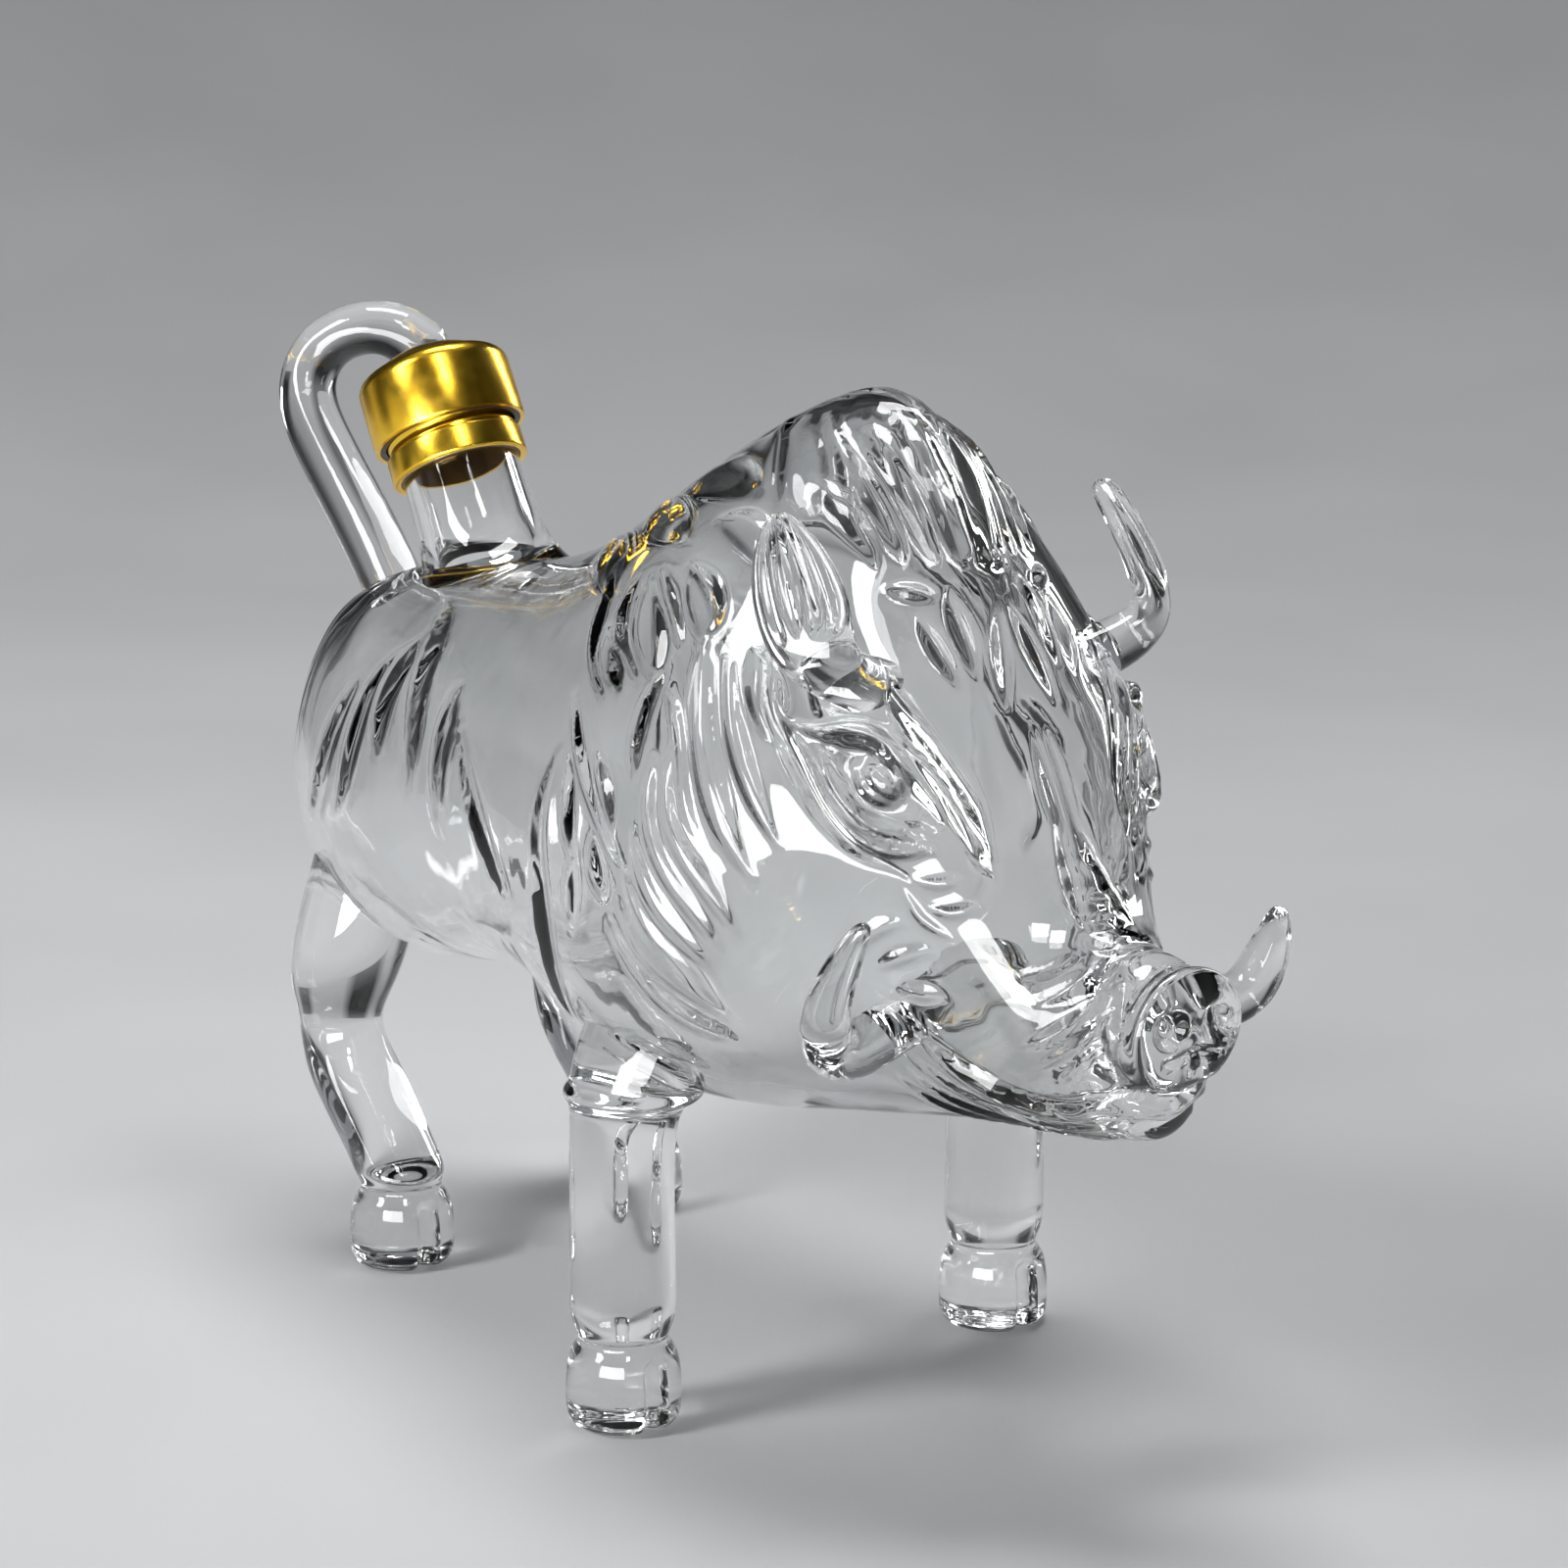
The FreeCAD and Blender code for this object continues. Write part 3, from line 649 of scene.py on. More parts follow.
def cut_away(piece, cutter):
    """Takes the cutter's volume off a piece for good."""
    step = piece.modifiers.new("cut", "BOOLEAN")
    step.operation = "DIFFERENCE"
    step.solver = "MANIFOLD"
    step.object = cutter
    evaluated = piece.evaluated_get(bpy.context.evaluated_depsgraph_get())
    mesh = bpy.data.meshes.new_from_object(evaluated)
    piece.modifiers.clear()
    old = piece.data
    piece.data = mesh
    bpy.data.meshes.remove(old)
    mesh.name = piece.name


def body_outside(clearance=0.0):
    """Points and faces of the body's outside with its relief, grown by a clearance."""
    round_shares = drawn_together(np.arange(body_columns) / body_columns, column_density_shares, True)
    rows = drawn_together(np.linspace(0, 1, body_rows), row_density_shares)
    base = body_surface(rows, round_shares)
    x = rows * body_length
    rim = np.exp(-((x - snout_rim_share * body_length) / snout_rim_width) ** 2)
    neck = np.exp(-((x - snout_neck_share * body_length) / snout_neck_width) ** 2)
    ring_height = snout_rim_height * (rim - neck)
    heights = eased(body_relief(base.reshape(-1, 3)).reshape(base.shape[:2])) + waves(base) + clearance
    skin = base + outward(base) * (heights + ring_height[:, None])[:, :, None]
    nose, nose_tip = end_rings(skin[-1], disc_rows, snout_bulge)
    nose[:, :, 0] += snout_relief(nose)
    rump, rump_tip = end_rings(skin[0], rump_rows, -rump_bulge)
    rings = np.concatenate([rump[::-1], skin, nose])
    points, faces = closed_skin(rings, rump_tip, nose_tip, ridged=True)
    return points, facing(points, faces)


def body_inside():
    """Points and faces of the smooth hollow, looking into it."""
    round_shares = np.arange(inner_columns) / inner_columns
    last = 1 - (snout_solid_length + glass_wall) / body_length
    rows = np.linspace(0, 1, inner_rows) ** inner_row_power * last
    base = body_surface(rows, round_shares)
    skin = base - outward(base) * glass_wall
    skin[:, :, 0] = np.maximum(skin[:, :, 0], rear_x + glass_wall)
    nose, nose_tip = end_rings(skin[-1], rump_rows, glass_wall)
    rings = np.concatenate([skin, nose])
    points, faces = closed_skin(rings, skin[0].mean(0), nose_tip)
    return points, facing(points, faces, False)


# Neck frame: heights are along the leaning neck, from the point where its axis meets the back
stations = np.array(body_station_shares)
neck_seat = np.interp(neck_place_share, stations[:, 0], stations[:, 2]) * hump_height
lean = math.radians(neck_lean)
collar_bottom = neck_free_length
thread_bottom = collar_bottom + collar_flange_height
thread_top = thread_bottom + thread_length
rim_height = thread_top + rim_stand_out
seal_top = rim_height + seal_thickness
liner_seat = seal_top + seal_gap
cap_bottom = thread_bottom + cap_gap
collar_bore_radius = neck_outer_radius + bond_thickness
insert_bore_radius = thread_radius + thread_clearance
insert_radius = insert_bore_radius + insert_wall
cap_radius = insert_radius + cap_wall
insert_top = liner_seat + insert_wall
cap_top = insert_top + cap_wall + cap_dome_height


def on_neck(points):
    """Points modelled upright about Z, placed on the leaning neck."""
    x, y, z = points.T
    return np.stack([
        along(neck_place_share) + x * math.cos(lean) - z * math.sin(lean),
        y,
        neck_seat + x * math.sin(lean) + z * math.cos(lean),
    ], 1)


def rounded(corners, radius):
    """Closed (radius, height) outline with its corners eased."""
    corners = np.array(corners, float)
    found = []
    for before, corner, after in zip(np.roll(corners, 1, 0), corners, np.roll(corners, -1, 0)):
        if corner[0] < tiny:
            found.append(corner)
            continue
        way_in, way_on = before - corner, after - corner
        long_in, long_on = np.linalg.norm(way_in), np.linalg.norm(way_on)
        cut = min(radius, corner_share * long_in, corner_share * long_on)
        a, b = corner + way_in / long_in * cut, corner + way_on / long_on * cut
        for t in np.linspace(0, 1, corner_steps):
            found.append((1 - t) ** 2 * a + 2 * t * (1 - t) * corner + t * t * b)
    return found


def threaded(outline, surface_radius=0.0, low=0.0, high=0.0, depth=0.0):
    """Outline rings round Z, with a thread cut in the wall at one radius between two heights."""
    turn = 2 * np.pi * np.arange(lathe_columns) / lathe_columns
    r, z = np.repeat(np.array(outline).T[:, :, None], lathe_columns, 2)
    phase = z / thread_pitch - turn / (2 * np.pi)
    wave = np.clip(np.abs(phase % 1 - 0.5) * thread_slope - thread_crest, 0, 1)
    fade = np.clip((z - low) / thread_pitch * 2, 0, 1) * np.clip((high - z) / thread_pitch * 2, 0, 1)
    r = r - depth * wave * fade * (np.abs(r - surface_radius) < wall_tolerance)
    return np.stack([r * np.cos(turn), r * np.sin(turn), z], 2)


def lathe_ring(name, outline, *thread):
    """Ring-shaped piece turned on the neck's axis from a closed outline."""
    rings = threaded(outline, *thread)
    points = on_neck(rings.reshape(-1, 3))
    faces = halved(grid_quads(len(outline) + 1, lathe_columns)) % len(points)
    return make_object(name, points, facing(points, faces))


def lathe_solid(name, outline, *thread):
    """Solid piece turned on the neck's axis from an outline that starts and ends on it."""
    rings = threaded(outline[1:-1], *thread)
    points, faces = closed_skin(rings, (0, 0, outline[0][1]), (0, 0, outline[-1][1]))
    return make_object(name, on_neck(points), facing(points, faces))


def fine_wall(radius, low, high):
    """Points of an outline up a wall, close enough together to carry a thread."""
    return [(radius, z) for z in np.linspace(low, high, int(abs(high - low) / thread_step) + 2)]


def falling_arc(middle, top, radius, angle, points):
    """Points of an outline round an edge, down from its top."""
    turns = np.linspace(0, angle, points)
    return [(middle + radius * math.sin(t), top - radius * (1 - math.cos(t))) for t in turns]


def cubic_basis(count, at):
    """Weights of a clamped cubic curve's points, at places from 0 to 1."""
    knots = np.concatenate([[0] * 3, np.arange(count - 2), [count - 3] * 3]).astype(float)
    u = np.clip(at * (count - 3), 0, count - 3 - tiny)
    weights = ((u[:, None] >= knots[:-1]) & (u[:, None] < knots[1:])).astype(float)
    for degree in range(1, 4):
        span = knots[degree:] - knots[:-degree]
        share = (u[:, None] - knots[:-degree]) / np.where(span > 0, span, 1)
        weights = share[:, :-1] * weights[:, :-1] + (1 - share[:, 1:]) * weights[:, 1:]
    return weights


def round_basis(count, columns):
    """Weights of a closed cubic curve's points at even places round it."""
    u = np.arange(columns) / columns * count
    t = u % 1
    weights = np.zeros((columns, count))
    parts = [(1 - t) ** 3, 3 * t ** 3 - 6 * t ** 2 + 4, -3 * t ** 3 + 3 * t ** 2 + 3 * t + 1, t ** 3]
    for offset, part in zip((-1, 0, 1, 2), parts):
        weights[np.arange(columns), (u.astype(int) + offset) % count] += part / 6
    return weights


def guide_ring(centre, normal, wide_way, wide, thick):
    """Ring of guide points whose smooth closed curve has the wanted half sizes."""
    normal = np.array(normal) / np.linalg.norm(normal)
    across = np.array(wide_way) - normal * np.dot(normal, wide_way)
    across = across / np.linalg.norm(across)
    up = np.cross(normal, across)
    turn = 2 * np.pi * np.arange(ring_points) / ring_points
    gain = 3 / (2 + math.cos(2 * math.pi / ring_points))
    return centre + gain * (wide * np.cos(turn)[:, None] * across + thick * np.sin(turn)[:, None] * up)


def drawn_skin(guide_rings, rows=limb_rows):
    """Grid of points on the smooth skin over guide rings."""
    rings = np.array(guide_rings)
    lengthwise = np.einsum("ri,ijk->rjk", cubic_basis(len(rings), np.linspace(0, 1, rows)), rings)
    return np.einsum("cj,rjk->rck", round_basis(ring_points, limb_columns), lengthwise)


def drawn_rod(rings, wide_way):
    """Skin along a path of (middle, half width, half thickness) rings."""
    middles = np.array([r[0] for r in rings])
    steps = np.diff(middles, axis=0)
    steps /= np.linalg.norm(steps, axis=1, keepdims=True)
    normals = np.concatenate([steps[:1], steps[:-1] + steps[1:], steps[-1:]])
    return drawn_skin([guide_ring(m, n, wide_way, w, t) for (m, w, t), n in zip(rings, normals)])


def leg_skin(place_share, spread_share, height, step_back, radius, ring_shares):
    """Right leg on its cloven hoof."""
    x, y = along(place_share), -spread_share * body_width / 2
    rings = [(x, y, hoof_height * up, hoof_radius * size) for up, size in hoof_ring_shares]
    rings += [
        (x - back * step_back, y * (1 - aside), height * up, radius * size)
        for up, back, aside, size in ring_shares
    ]
    guides = [guide_ring(np.array(r[:3]), (0, 0, 1), (1, 0, 0), r[3], r[3]) for r in rings]
    skin = drawn_skin(guides, leg_rows)
    toe = np.clip(1 - np.abs(skin[:, :, 1] - y) / cleft_width, 0, 1) * (skin[:, :, 0] > x)
    low = np.clip((hoof_height - skin[:, :, 2]) / cleft_fade, 0, 1)
    skin[:, :, 0] -= cleft_depth * toe * low
    bead = np.exp(-((skin[:, :, 2] - weld_height) / weld_half_width) ** 2)
    if not step_back:
        skin += outward(skin) * (weld_bead * bead)[:, :, None]
    return skin


def right_root(place_share, span_share, height_share):
    """Point where a limb grows from the body's right side."""
    return np.array([along(place_share), -span_share * body_width / 2, height_share * hump_height])


def ear_skin():
    """Right ear: a leaf with lengthwise ribs on a knob."""
    root = right_root(ear_place_share, ear_root_span_share, ear_root_height_share)
    rings = [
        (
            root + (-back * ear_sweep_back, -out * ear_reach_out, up * ear_rise),
            wide * ear_width / 2,
            thick * ear_thickness / 2,
        )
        for back, out, up, wide, thick in ear_ring_shares
    ]
    skin = drawn_rod(rings, (1, 1, 0))
    turn = 2 * np.pi * np.arange(limb_columns) / limb_columns
    place = np.linspace(0, 1, len(skin))
    leaf = np.clip((place - ear_leaf_start) / ear_leaf_fade, 0, 1)
    leaf *= np.clip((ear_leaf_end - place) / ear_leaf_fade, 0, 1)
    ribs = np.sin(turn) ** 2 * np.cos(2 * np.pi * ear_ribs * np.cos(turn))
    return skin + outward(skin) * (ear_rib_height * leaf[:, None] * ribs)[:, :, None]


def tusk_skin(place_share, full_rise, sweep):
    """Right tusk."""
    root = right_root(place_share, tusk_root_span_share, tusk_root_height_share)
    rings = []
    for forward, out, up, size in tusk_ring_shares:
        rise = up * (full_rise if up > 0 else tusk_drop)
        middle = root + (forward * sweep, -out * tusk_reach_out, rise)
        rings.append((middle, size * tusk_radius, size * tusk_radius))
    return drawn_rod(rings, (1, 0, 0))


def tail_skin():
    """Tail rod, curled over forward and to the left."""
    back = tail_reach_back - tail_radius
    root_height = tail_root_height_share * hump_height
    rise = tail_top_height - tail_radius - root_height
    rings = [
        (
            np.array([rear_x - far * back, aside * tail_curl_aside, root_height + up * rise]),
            size * tail_radius,
            size * tail_radius,
        )
        for far, aside, up, size in tail_ring_shares
    ]
    return drawn_rod(rings, (0, 1, 0))


def set_sockets(node, **values):
    """Sets a node's sockets by name, with _ for each space, or links other nodes' outputs to them."""
    for name, value in values.items():
        socket = node.inputs[name.replace("_", " ")]
        if isinstance(value, bpy.types.NodeSocket):
            node.id_data.links.new(value, socket)
        else:
            socket.default_value = value


def node_of(tree, kind, **values):
    """New shader node with some of its sockets set."""
    node = tree.nodes.new("ShaderNode" + kind)
    set_sockets(node, **values)
    return node


def new_material(name):
    """Material with its node tree, its principled shader and the piece's own coordinates."""
    material = bpy.data.materials.new(name)
    material.use_nodes = True
    tree = material.node_tree
    return material, tree, tree.nodes["Principled BSDF"], node_of(tree, "TexCoord").outputs["Object"]


def noise_of(tree, place, scale, detail):
    """Noise that runs through the piece."""
    return node_of(tree, "TexNoise", Vector=place, Scale=scale, Detail=detail).outputs["Fac"]


def colour_run(tree, noise, low, high):
    """Noise turned into a run between two colours."""
    ramp = node_of(tree, "ValToRGB", Fac=noise)
    for stop, position, colour in zip(ramp.color_ramp.elements, ramp_positions, (low, high)):
        stop.position = position
        stop.color = (*colour, 1)
    return ramp.outputs["Color"]


def mottled_material(name, colours, colour_noise, roughness, roughness_noise, bump, bump_noise, **values):
    """Material that varies by (scale, detail) noises, with (distance, strength) of its fine bumps."""
    material, tree, shader, place = new_material(name)
    spread = node_of(tree, "MapRange", To_Min=roughness[0], To_Max=roughness[1])
    set_sockets(spread, Value=noise_of(tree, place, *roughness_noise))
    bumps = node_of(tree, "Bump", Distance=bump[0], Strength=bump[1])
    set_sockets(bumps, Height=noise_of(tree, place, *bump_noise))
    set_sockets(shader, Base_Color=colour_run(tree, noise_of(tree, place, *colour_noise), *colours))
    set_sockets(shader, Roughness=spread.outputs["Result"], Normal=bumps.outputs["Normal"], **values)
    return material


def glass_material(name, tint, ripple):
    """Clear blown glass with a faint tint, slow ripples and barely uneven gloss."""
    return mottled_material(
        name,
        colours=(tint, clear_colour), colour_noise=(30, 2),
        roughness=(0.0, 0.03), roughness_noise=(90, 3),
        bump=(ripple * MM, 0.25), bump_noise=(120, 1),
        Transmission_Weight=1.0, IOR=1.47,
    )


def moulded_material(name, low, high, roughness, scale):
    """Moulded plastic, resin or rubber with a slight mottle."""
    return mottled_material(
        name,
        colours=(low, high), colour_noise=(scale, 3),
        roughness=(roughness, roughness + roughness_spread), roughness_noise=(scale * 2, 3),
        bump=(0.05 * MM, 0.3), bump_noise=(scale * 4, 2),
    )


def finish_piece(piece, material, body, slot, *nodes):
    """Gives a piece its finish and its body, and hides the nodes that it stands for."""
    piece.data.materials.clear()
    piece.data.materials.append(material)
    piece.data.set_sharp_from_angle(angle=sharp_angle)
    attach(piece, body)
    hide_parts(*nodes)


# Materials
ramp_positions = (0.35, 0.65)
clear_colour = (1.0, 1.0, 1.0)
roughness_spread = 0.12
clear_glass = glass_material("clear_glass", (0.955, 0.972, 0.968), 0.25)
rod_glass = glass_material("rod_glass", (0.965, 0.975, 0.972), 0.15)
gold_metal = mottled_material(
    "gold_metal",
    colours=((0.93, 0.53, 0.03), (1.00, 0.65, 0.06)), colour_noise=(160, 3),
    roughness=(0.16, 0.30), roughness_noise=(400, 4),
    bump=(0.02 * MM, 0.3), bump_noise=(900, 2),
    Metallic=1.0,
)
cap_liner = moulded_material("cap_liner", (0.025, 0.022, 0.02), (0.05, 0.045, 0.04), 0.35, 220)
seal_rubber = moulded_material("seal_rubber", (0.55, 0.55, 0.54), (0.66, 0.66, 0.65), 0.5, 260)
bond_resin = moulded_material("bond_resin", (0.16, 0.08, 0.02), (0.26, 0.14, 0.04), 0.25, 180)

# Body: the pressed outside, the smooth hollow and the way up into the neck
outside_points, outside_faces = body_outside()
inside_points, inside_faces = body_inside()
body_points = np.concatenate([outside_points, inside_points])
body_faces = np.concatenate([outside_faces, inside_faces + len(outside_points)])
body = make_object("body_glass", body_points, body_faces)
way_up = lathe_solid("way_up", [
    (0, -neck_root_depth),
    (neck_bore_radius, -neck_root_depth),
    (neck_bore_radius, neck_flare_height),
    (0, neck_flare_height),
])
cut_away(body, way_up)
bpy.data.objects.remove(way_up)
finish_piece(body, clear_glass, "bottle", "clear_glass", "body_shell")

# Limbs, each cut to the body with a hair of room at the weld
cutter = make_object("body_cutter", *body_outside(weld_gap))
front_leg = leg_skin(
    front_leg_place_share, front_leg_spread_share, front_leg_height, 0.0, front_leg_radius, front_ring_shares,
)
rear_leg = leg_skin(
    rear_leg_place_share, rear_leg_spread_share, rear_leg_height, rear_leg_step_back, rear_leg_radius,
    rear_ring_shares,
)
other_side = (1, -1, 1)
limbs = {
    "front_leg_right": front_leg,
    "front_leg_left": front_leg * other_side,
    "rear_leg_right": rear_leg,
    "rear_leg_left": rear_leg * other_side,
    "ear_right": ear_skin(),
    "ear_left": ear_skin() * other_side,
    "tusk_right": tusk_skin(tusk_right_place_share, tusk_right_rise, tusk_right_sweep),
    "tusk_left": tusk_skin(tusk_left_place_share, tusk_left_rise, tusk_left_sweep) * other_side,
    "tail": tail_skin(),
}
for name, skin in limbs.items():
    points, faces = closed_skin(skin, skin[0].mean(0), skin[-1].mean(0))
    limb = make_object(name + "_glass", points, facing(points, faces))
    cut_away(limb, cutter)
    finish_piece(limb, rod_glass, "bottle", "clear_glass", name)

# Neck with its flared foot and rounded lip
flare = [
    (neck_outer_radius + neck_flare_width * math.exp(-z / neck_flare_fall), z)
    for z in neck_flare_fall * np.linspace(-neck_flare_reach, neck_flare_falls, neck_flare_points)
]
lip = (neck_outer_radius - neck_bore_radius) / 2
lip_arc = [
    (neck_outer_radius - lip + lip * math.cos(t), rim_height - lip + lip * math.sin(t))
    for t in np.linspace(0, math.pi, neck_lip_points)
]
neck_outline = [(flare[0][0], -neck_root_depth)] + flare + [(neck_outer_radius, collar_bottom)] + lip_arc
neck_outline += [(neck_bore_radius, -neck_root_depth)]
neck = lathe_ring("neck_glass", neck_outline)
cut_away(neck, cutter)
bpy.data.objects.remove(cutter)
finish_piece(neck, clear_glass, "bottle", "clear_glass", "neck_tube")

# Collar, bond, seal, liner and cap
bond = lathe_ring("bond_ring", rounded([
    (neck_outer_radius, collar_bottom),
    (collar_bore_radius, collar_bottom),
    (collar_bore_radius, thread_top),
    (neck_outer_radius, thread_top),
], bond_corner))
finish_piece(bond, bond_resin, "bottle", "bond_resin", "collar_bond")
collar_outline = rounded([
    (collar_bore_radius, collar_bottom),
    (collar_flange_radius, collar_bottom),
    (collar_flange_radius, thread_bottom),
    (thread_radius, thread_bottom),
], collar_corner)
collar_outline += fine_wall(thread_radius, thread_bottom, thread_top)
collar_outline += [(collar_bore_radius, thread_top)]
collar_thread = (thread_radius, thread_bottom, thread_top, thread_depth)
collar = lathe_ring("collar_metal", collar_outline, *collar_thread)
finish_piece(collar, gold_metal, "bottle", "gold_metal", "neck_collar")
seal_radius = insert_bore_radius - seal_clearance
seal = lathe_solid("seal_disc", rounded([
    (0, rim_height),
    (seal_radius, rim_height),
    (seal_radius, seal_top),
    (0, seal_top),
], seal_corner))
finish_piece(seal, seal_rubber, "seal", "seal_rubber", "cap_seal")
insert_outline = [(0, liner_seat)] + fine_wall(insert_bore_radius, liner_seat, cap_bottom)
insert_outline += [(insert_radius, cap_bottom), (insert_radius, insert_top), (0, insert_top)]
insert_thread = (insert_bore_radius, cap_bottom, liner_seat, -thread_depth / 2)
insert = lathe_solid("liner_cup", insert_outline, *insert_thread)
finish_piece(insert, cap_liner, "cap", "cap_liner", "cap_insert")
shoulder = insert_top + 2 * cap_wall
shoulder_in = cap_radius - cap_edge_radius
crown_rise = cap_top - shoulder
crown_radius = (shoulder_in ** 2 + crown_rise ** 2) / (2 * crown_rise)
crown_angle = math.asin(shoulder_in / crown_radius)
cap_outline = falling_arc(0, cap_top, crown_radius, crown_angle, cap_dome_points)
cap_outline += falling_arc(shoulder_in, shoulder, cap_edge_radius, math.pi / 2, cap_edge_points)[1:]
cap_outline += [
    (cap_radius, cap_bottom + cap_foot_height),
    (cap_radius - cap_foot_step, cap_bottom),
    (insert_radius, cap_bottom),
    (insert_radius, insert_top),
    (0, insert_top),
]
cap = lathe_solid("cap_metal", cap_outline)
finish_piece(cap, gold_metal, "cap", "gold_metal", "cap_shell")

# Stage: a pale bowl whose floor runs up into its wall all round, in metres
bowl_radius = 2.2
bowl_corner = 1.6
bowl_corner_points = 16
bowl_height = 3.0
bowl_columns = 96
floor_ring_radii = (0.05, 0.3)
paper_colours = ((0.56, 0.565, 0.575), (0.60, 0.605, 0.615))
paper_noise = (6, 2)
# Heights between which the wall runs from pale to dark, and its dark colour
shade_low = 0.24
shade_high = 0.62
shade_colour = (0.02, 0.02, 0.022, 1)

# Softboxes: turn from the camera, rise, distance, width, height, watts
lamps = [
    ("key", -61, 38, 1.30, 0.30, 0.60, 10.0),
    ("top", 180, 81, 1.30, 0.70, 0.35, 11.5),
]
# Glint lamps, which only show in the glass and the metal
glints = [
    ("strip", 138, 18, 1.00, 0.12, 0.50, 2.5),
    ("window_left", 8, 57, 1.20, 0.16, 0.20, 2.0),
    ("window_right", 14, 46, 1.20, 0.16, 0.20, 2.0),
    ("low", -33, 6, 1.00, 0.34, 0.30, 4.0),
    ("sheen", -22, -6, 0.45, 0.40, 0.32, 6.0),
]
# Glint lamps that the glass mirrors but doesn't show through itself
mirrored_only = ("low", "sheen")

# Black cards that give the glass its dark edges: their turns from the camera, place and size in metres
flag_turns = (-156, -126, -95, 35, 65, 95, 122, 156)
flag_distance = 0.6
flag_width = 0.30
flag_height = 0.9
flag_lift = 0.2
flag_fade_share = 0.5
flag_corners = np.array([(-1, -1, 0), (1, -1, 0), (1, 1, 0), (-1, 1, 0)])
cloth_colours = ((0.01, 0.01, 0.01), (0.02, 0.02, 0.02))
cloth_noise = (40, 2)

# Camera at the photograph's angle
camera_target = Vector((26.9, 0.61, 90.12)) * MM
camera_turn = math.radians(52.52)
camera_rise = math.radians(12.0)
camera_distance = 571.97 * MM
to_camera = Vector((
    math.sin(camera_turn) * math.cos(camera_rise),
    -math.cos(camera_turn) * math.cos(camera_rise),
    math.sin(camera_rise),
))
# Ways that place lamps and cards, and the point that they face
level = Vector((to_camera.x, to_camera.y, 0)).normalized()
right = Vector((-level.y, level.x, 0))
up = Vector((0, 0, 1))
lit_point = Vector((0.02, 0.0, 0.09))


def way_at(turn, rise=0):
    """Unit way from the lit point, by degrees round from the camera and degrees up."""
    turn, rise = math.radians(turn), math.radians(rise)
    return (level * math.cos(turn) + right * math.sin(turn)) * math.cos(rise) + up * math.sin(rise)


def aim(piece, centre, way):
    """Puts a piece at a centre with its +Z along a way."""
    piece.location = centre
    piece.rotation_euler = way.to_track_quat("Z", "Y").to_euler()


def pale_stage():
    """Floor and backdrop in one."""
    corner = [
        (bowl_radius - bowl_corner + bowl_corner * math.sin(t), bowl_corner * (1 - math.cos(t)))
        for t in np.linspace(0, math.pi / 2, bowl_corner_points)
    ]
    outline = [(r, 0.0) for r in floor_ring_radii] + corner + [(bowl_radius, bowl_height)]
    turn = 2 * np.pi * np.arange(bowl_columns) / bowl_columns
    rings = np.array([[(r * math.cos(t), r * math.sin(t), z) for t in turn] for r, z in outline])
    points = np.concatenate([rings.reshape(-1, 3), [(0, 0, 0)]]) / MM
    fan = [[len(points) - 1, j, (j + 1) % bowl_columns] for j in range(bowl_columns)]
    sides = halved(grid_quads(len(outline), bowl_columns))[:, ::-1]
    floor = make_object("floor", points, np.concatenate([fan, sides]))
    material, tree, shader, place = new_material("floor_paper")
    paper = colour_run(tree, noise_of(tree, place, *paper_noise), *paper_colours)
    height = node_of(tree, "SeparateXYZ", Vector=place).outputs["Z"]
    rise = node_of(tree, "MapRange", Value=height, From_Min=shade_low, From_Max=shade_high)
    shade = node_of(tree, "MixRGB", Fac=rise.outputs["Result"], Color1=paper, Color2=shade_colour)
    set_sockets(shader, Base_Color=shade.outputs["Color"], Roughness=0.8, Specular_IOR_Level=0.0)
    floor.data.materials.append(material)


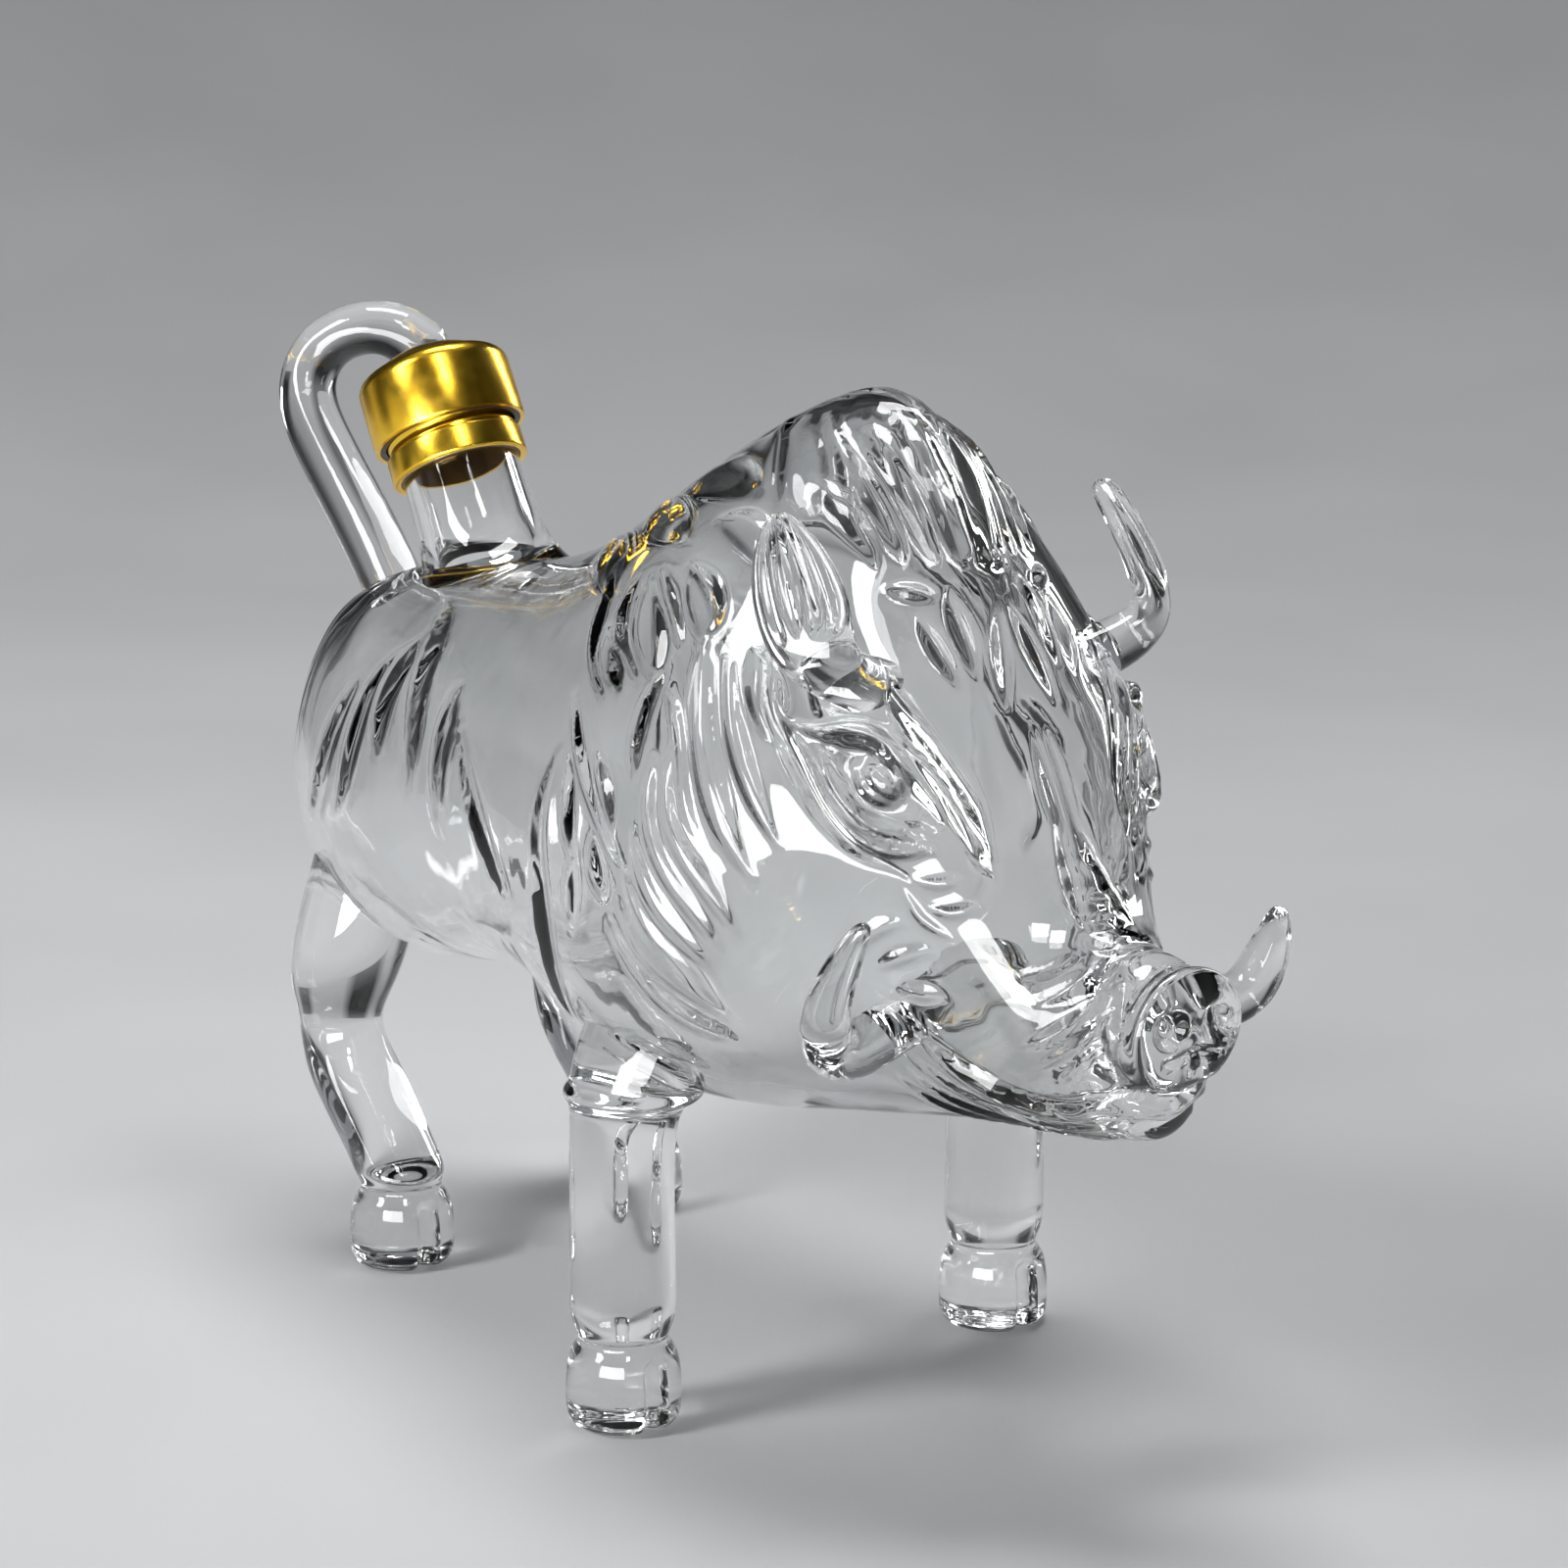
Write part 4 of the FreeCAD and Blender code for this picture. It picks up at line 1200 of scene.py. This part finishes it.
def flag(name, centre):
    """Black card with soft edges that the glass mirrors and shows, but the camera doesn't see."""
    half_sizes = (flag_width / 2, flag_height / 2, 0)
    card = make_object(name, flag_corners * half_sizes / MM, np.array([[0, 1, 2, 3]]))
    aim(card, centre, lit_point - centre)
    material, tree, shader, place = new_material(name + "_cloth")
    cloth = colour_run(tree, noise_of(tree, place, *cloth_noise), *cloth_colours)
    parts = node_of(tree, "SeparateXYZ", Vector=place)
    both = node_of(tree, "Math")
    both.operation = "MULTIPLY"
    for axis, half, strength in zip("XY", half_sizes, both.inputs):
        off = node_of(tree, "Math", Value=parts.outputs[axis])
        off.operation = "ABSOLUTE"
        fade = node_of(tree, "MapRange", From_Min=half, From_Max=half * (1 - flag_fade_share))
        set_sockets(fade, Value=off.outputs["Value"])
        tree.links.new(fade.outputs["Result"], strength)
    set_sockets(shader, Base_Color=cloth, Roughness=0.9, Alpha=both.outputs["Value"])
    card.data.materials.append(material)
    card.visible_camera = False
    card.visible_shadow = False
    card.visible_diffuse = False


def soft_light(name, centre, width, height, watts):
    """Softbox that faces the lit point."""
    lamp = bpy.data.lights.new(name, "AREA")
    lamp.shape = "RECTANGLE"
    lamp.size = width
    lamp.size_y = height
    lamp.energy = watts
    piece = bpy.data.objects.new(name, lamp)
    aim(piece, centre, centre - lit_point)
    scene.collection.objects.link(piece)
    return piece


lens = bpy.data.cameras.new("camera")
lens.lens = 87.24
lens.sensor_width = 36.0
lens.clip_start = 0.01
camera = bpy.data.objects.new("camera", lens)
aim(camera, camera_target + to_camera * camera_distance, to_camera)
scene.collection.objects.link(camera)
scene.camera = camera

pale_stage()
for row in lamps + glints:
    name, turn, rise, distance, width, height, watts = row
    lamp = soft_light(name, lit_point + way_at(turn, rise) * distance, width, height, watts)
    lamp.visible_diffuse = row in lamps
    lamp.visible_camera = False
    lamp.visible_transmission = name not in mirrored_only
for number, turn in enumerate(flag_turns):
    flag("flag_%d" % number, lit_point + way_at(turn) * flag_distance + up * flag_lift)

world = bpy.data.worlds.new("world")
scene.world = world
world.use_nodes = True
sky = world.node_tree.nodes["Background"]
sky.inputs["Color"].default_value = (0.80, 0.84, 0.90, 1)
sky.inputs["Strength"].default_value = 0.25
scene.view_settings.view_transform = "Standard"
scene.cycles.max_bounces = 16
scene.cycles.transmission_bounces = 16
scene.cycles.glossy_bounces = 12

bpy.context.view_layer.update()
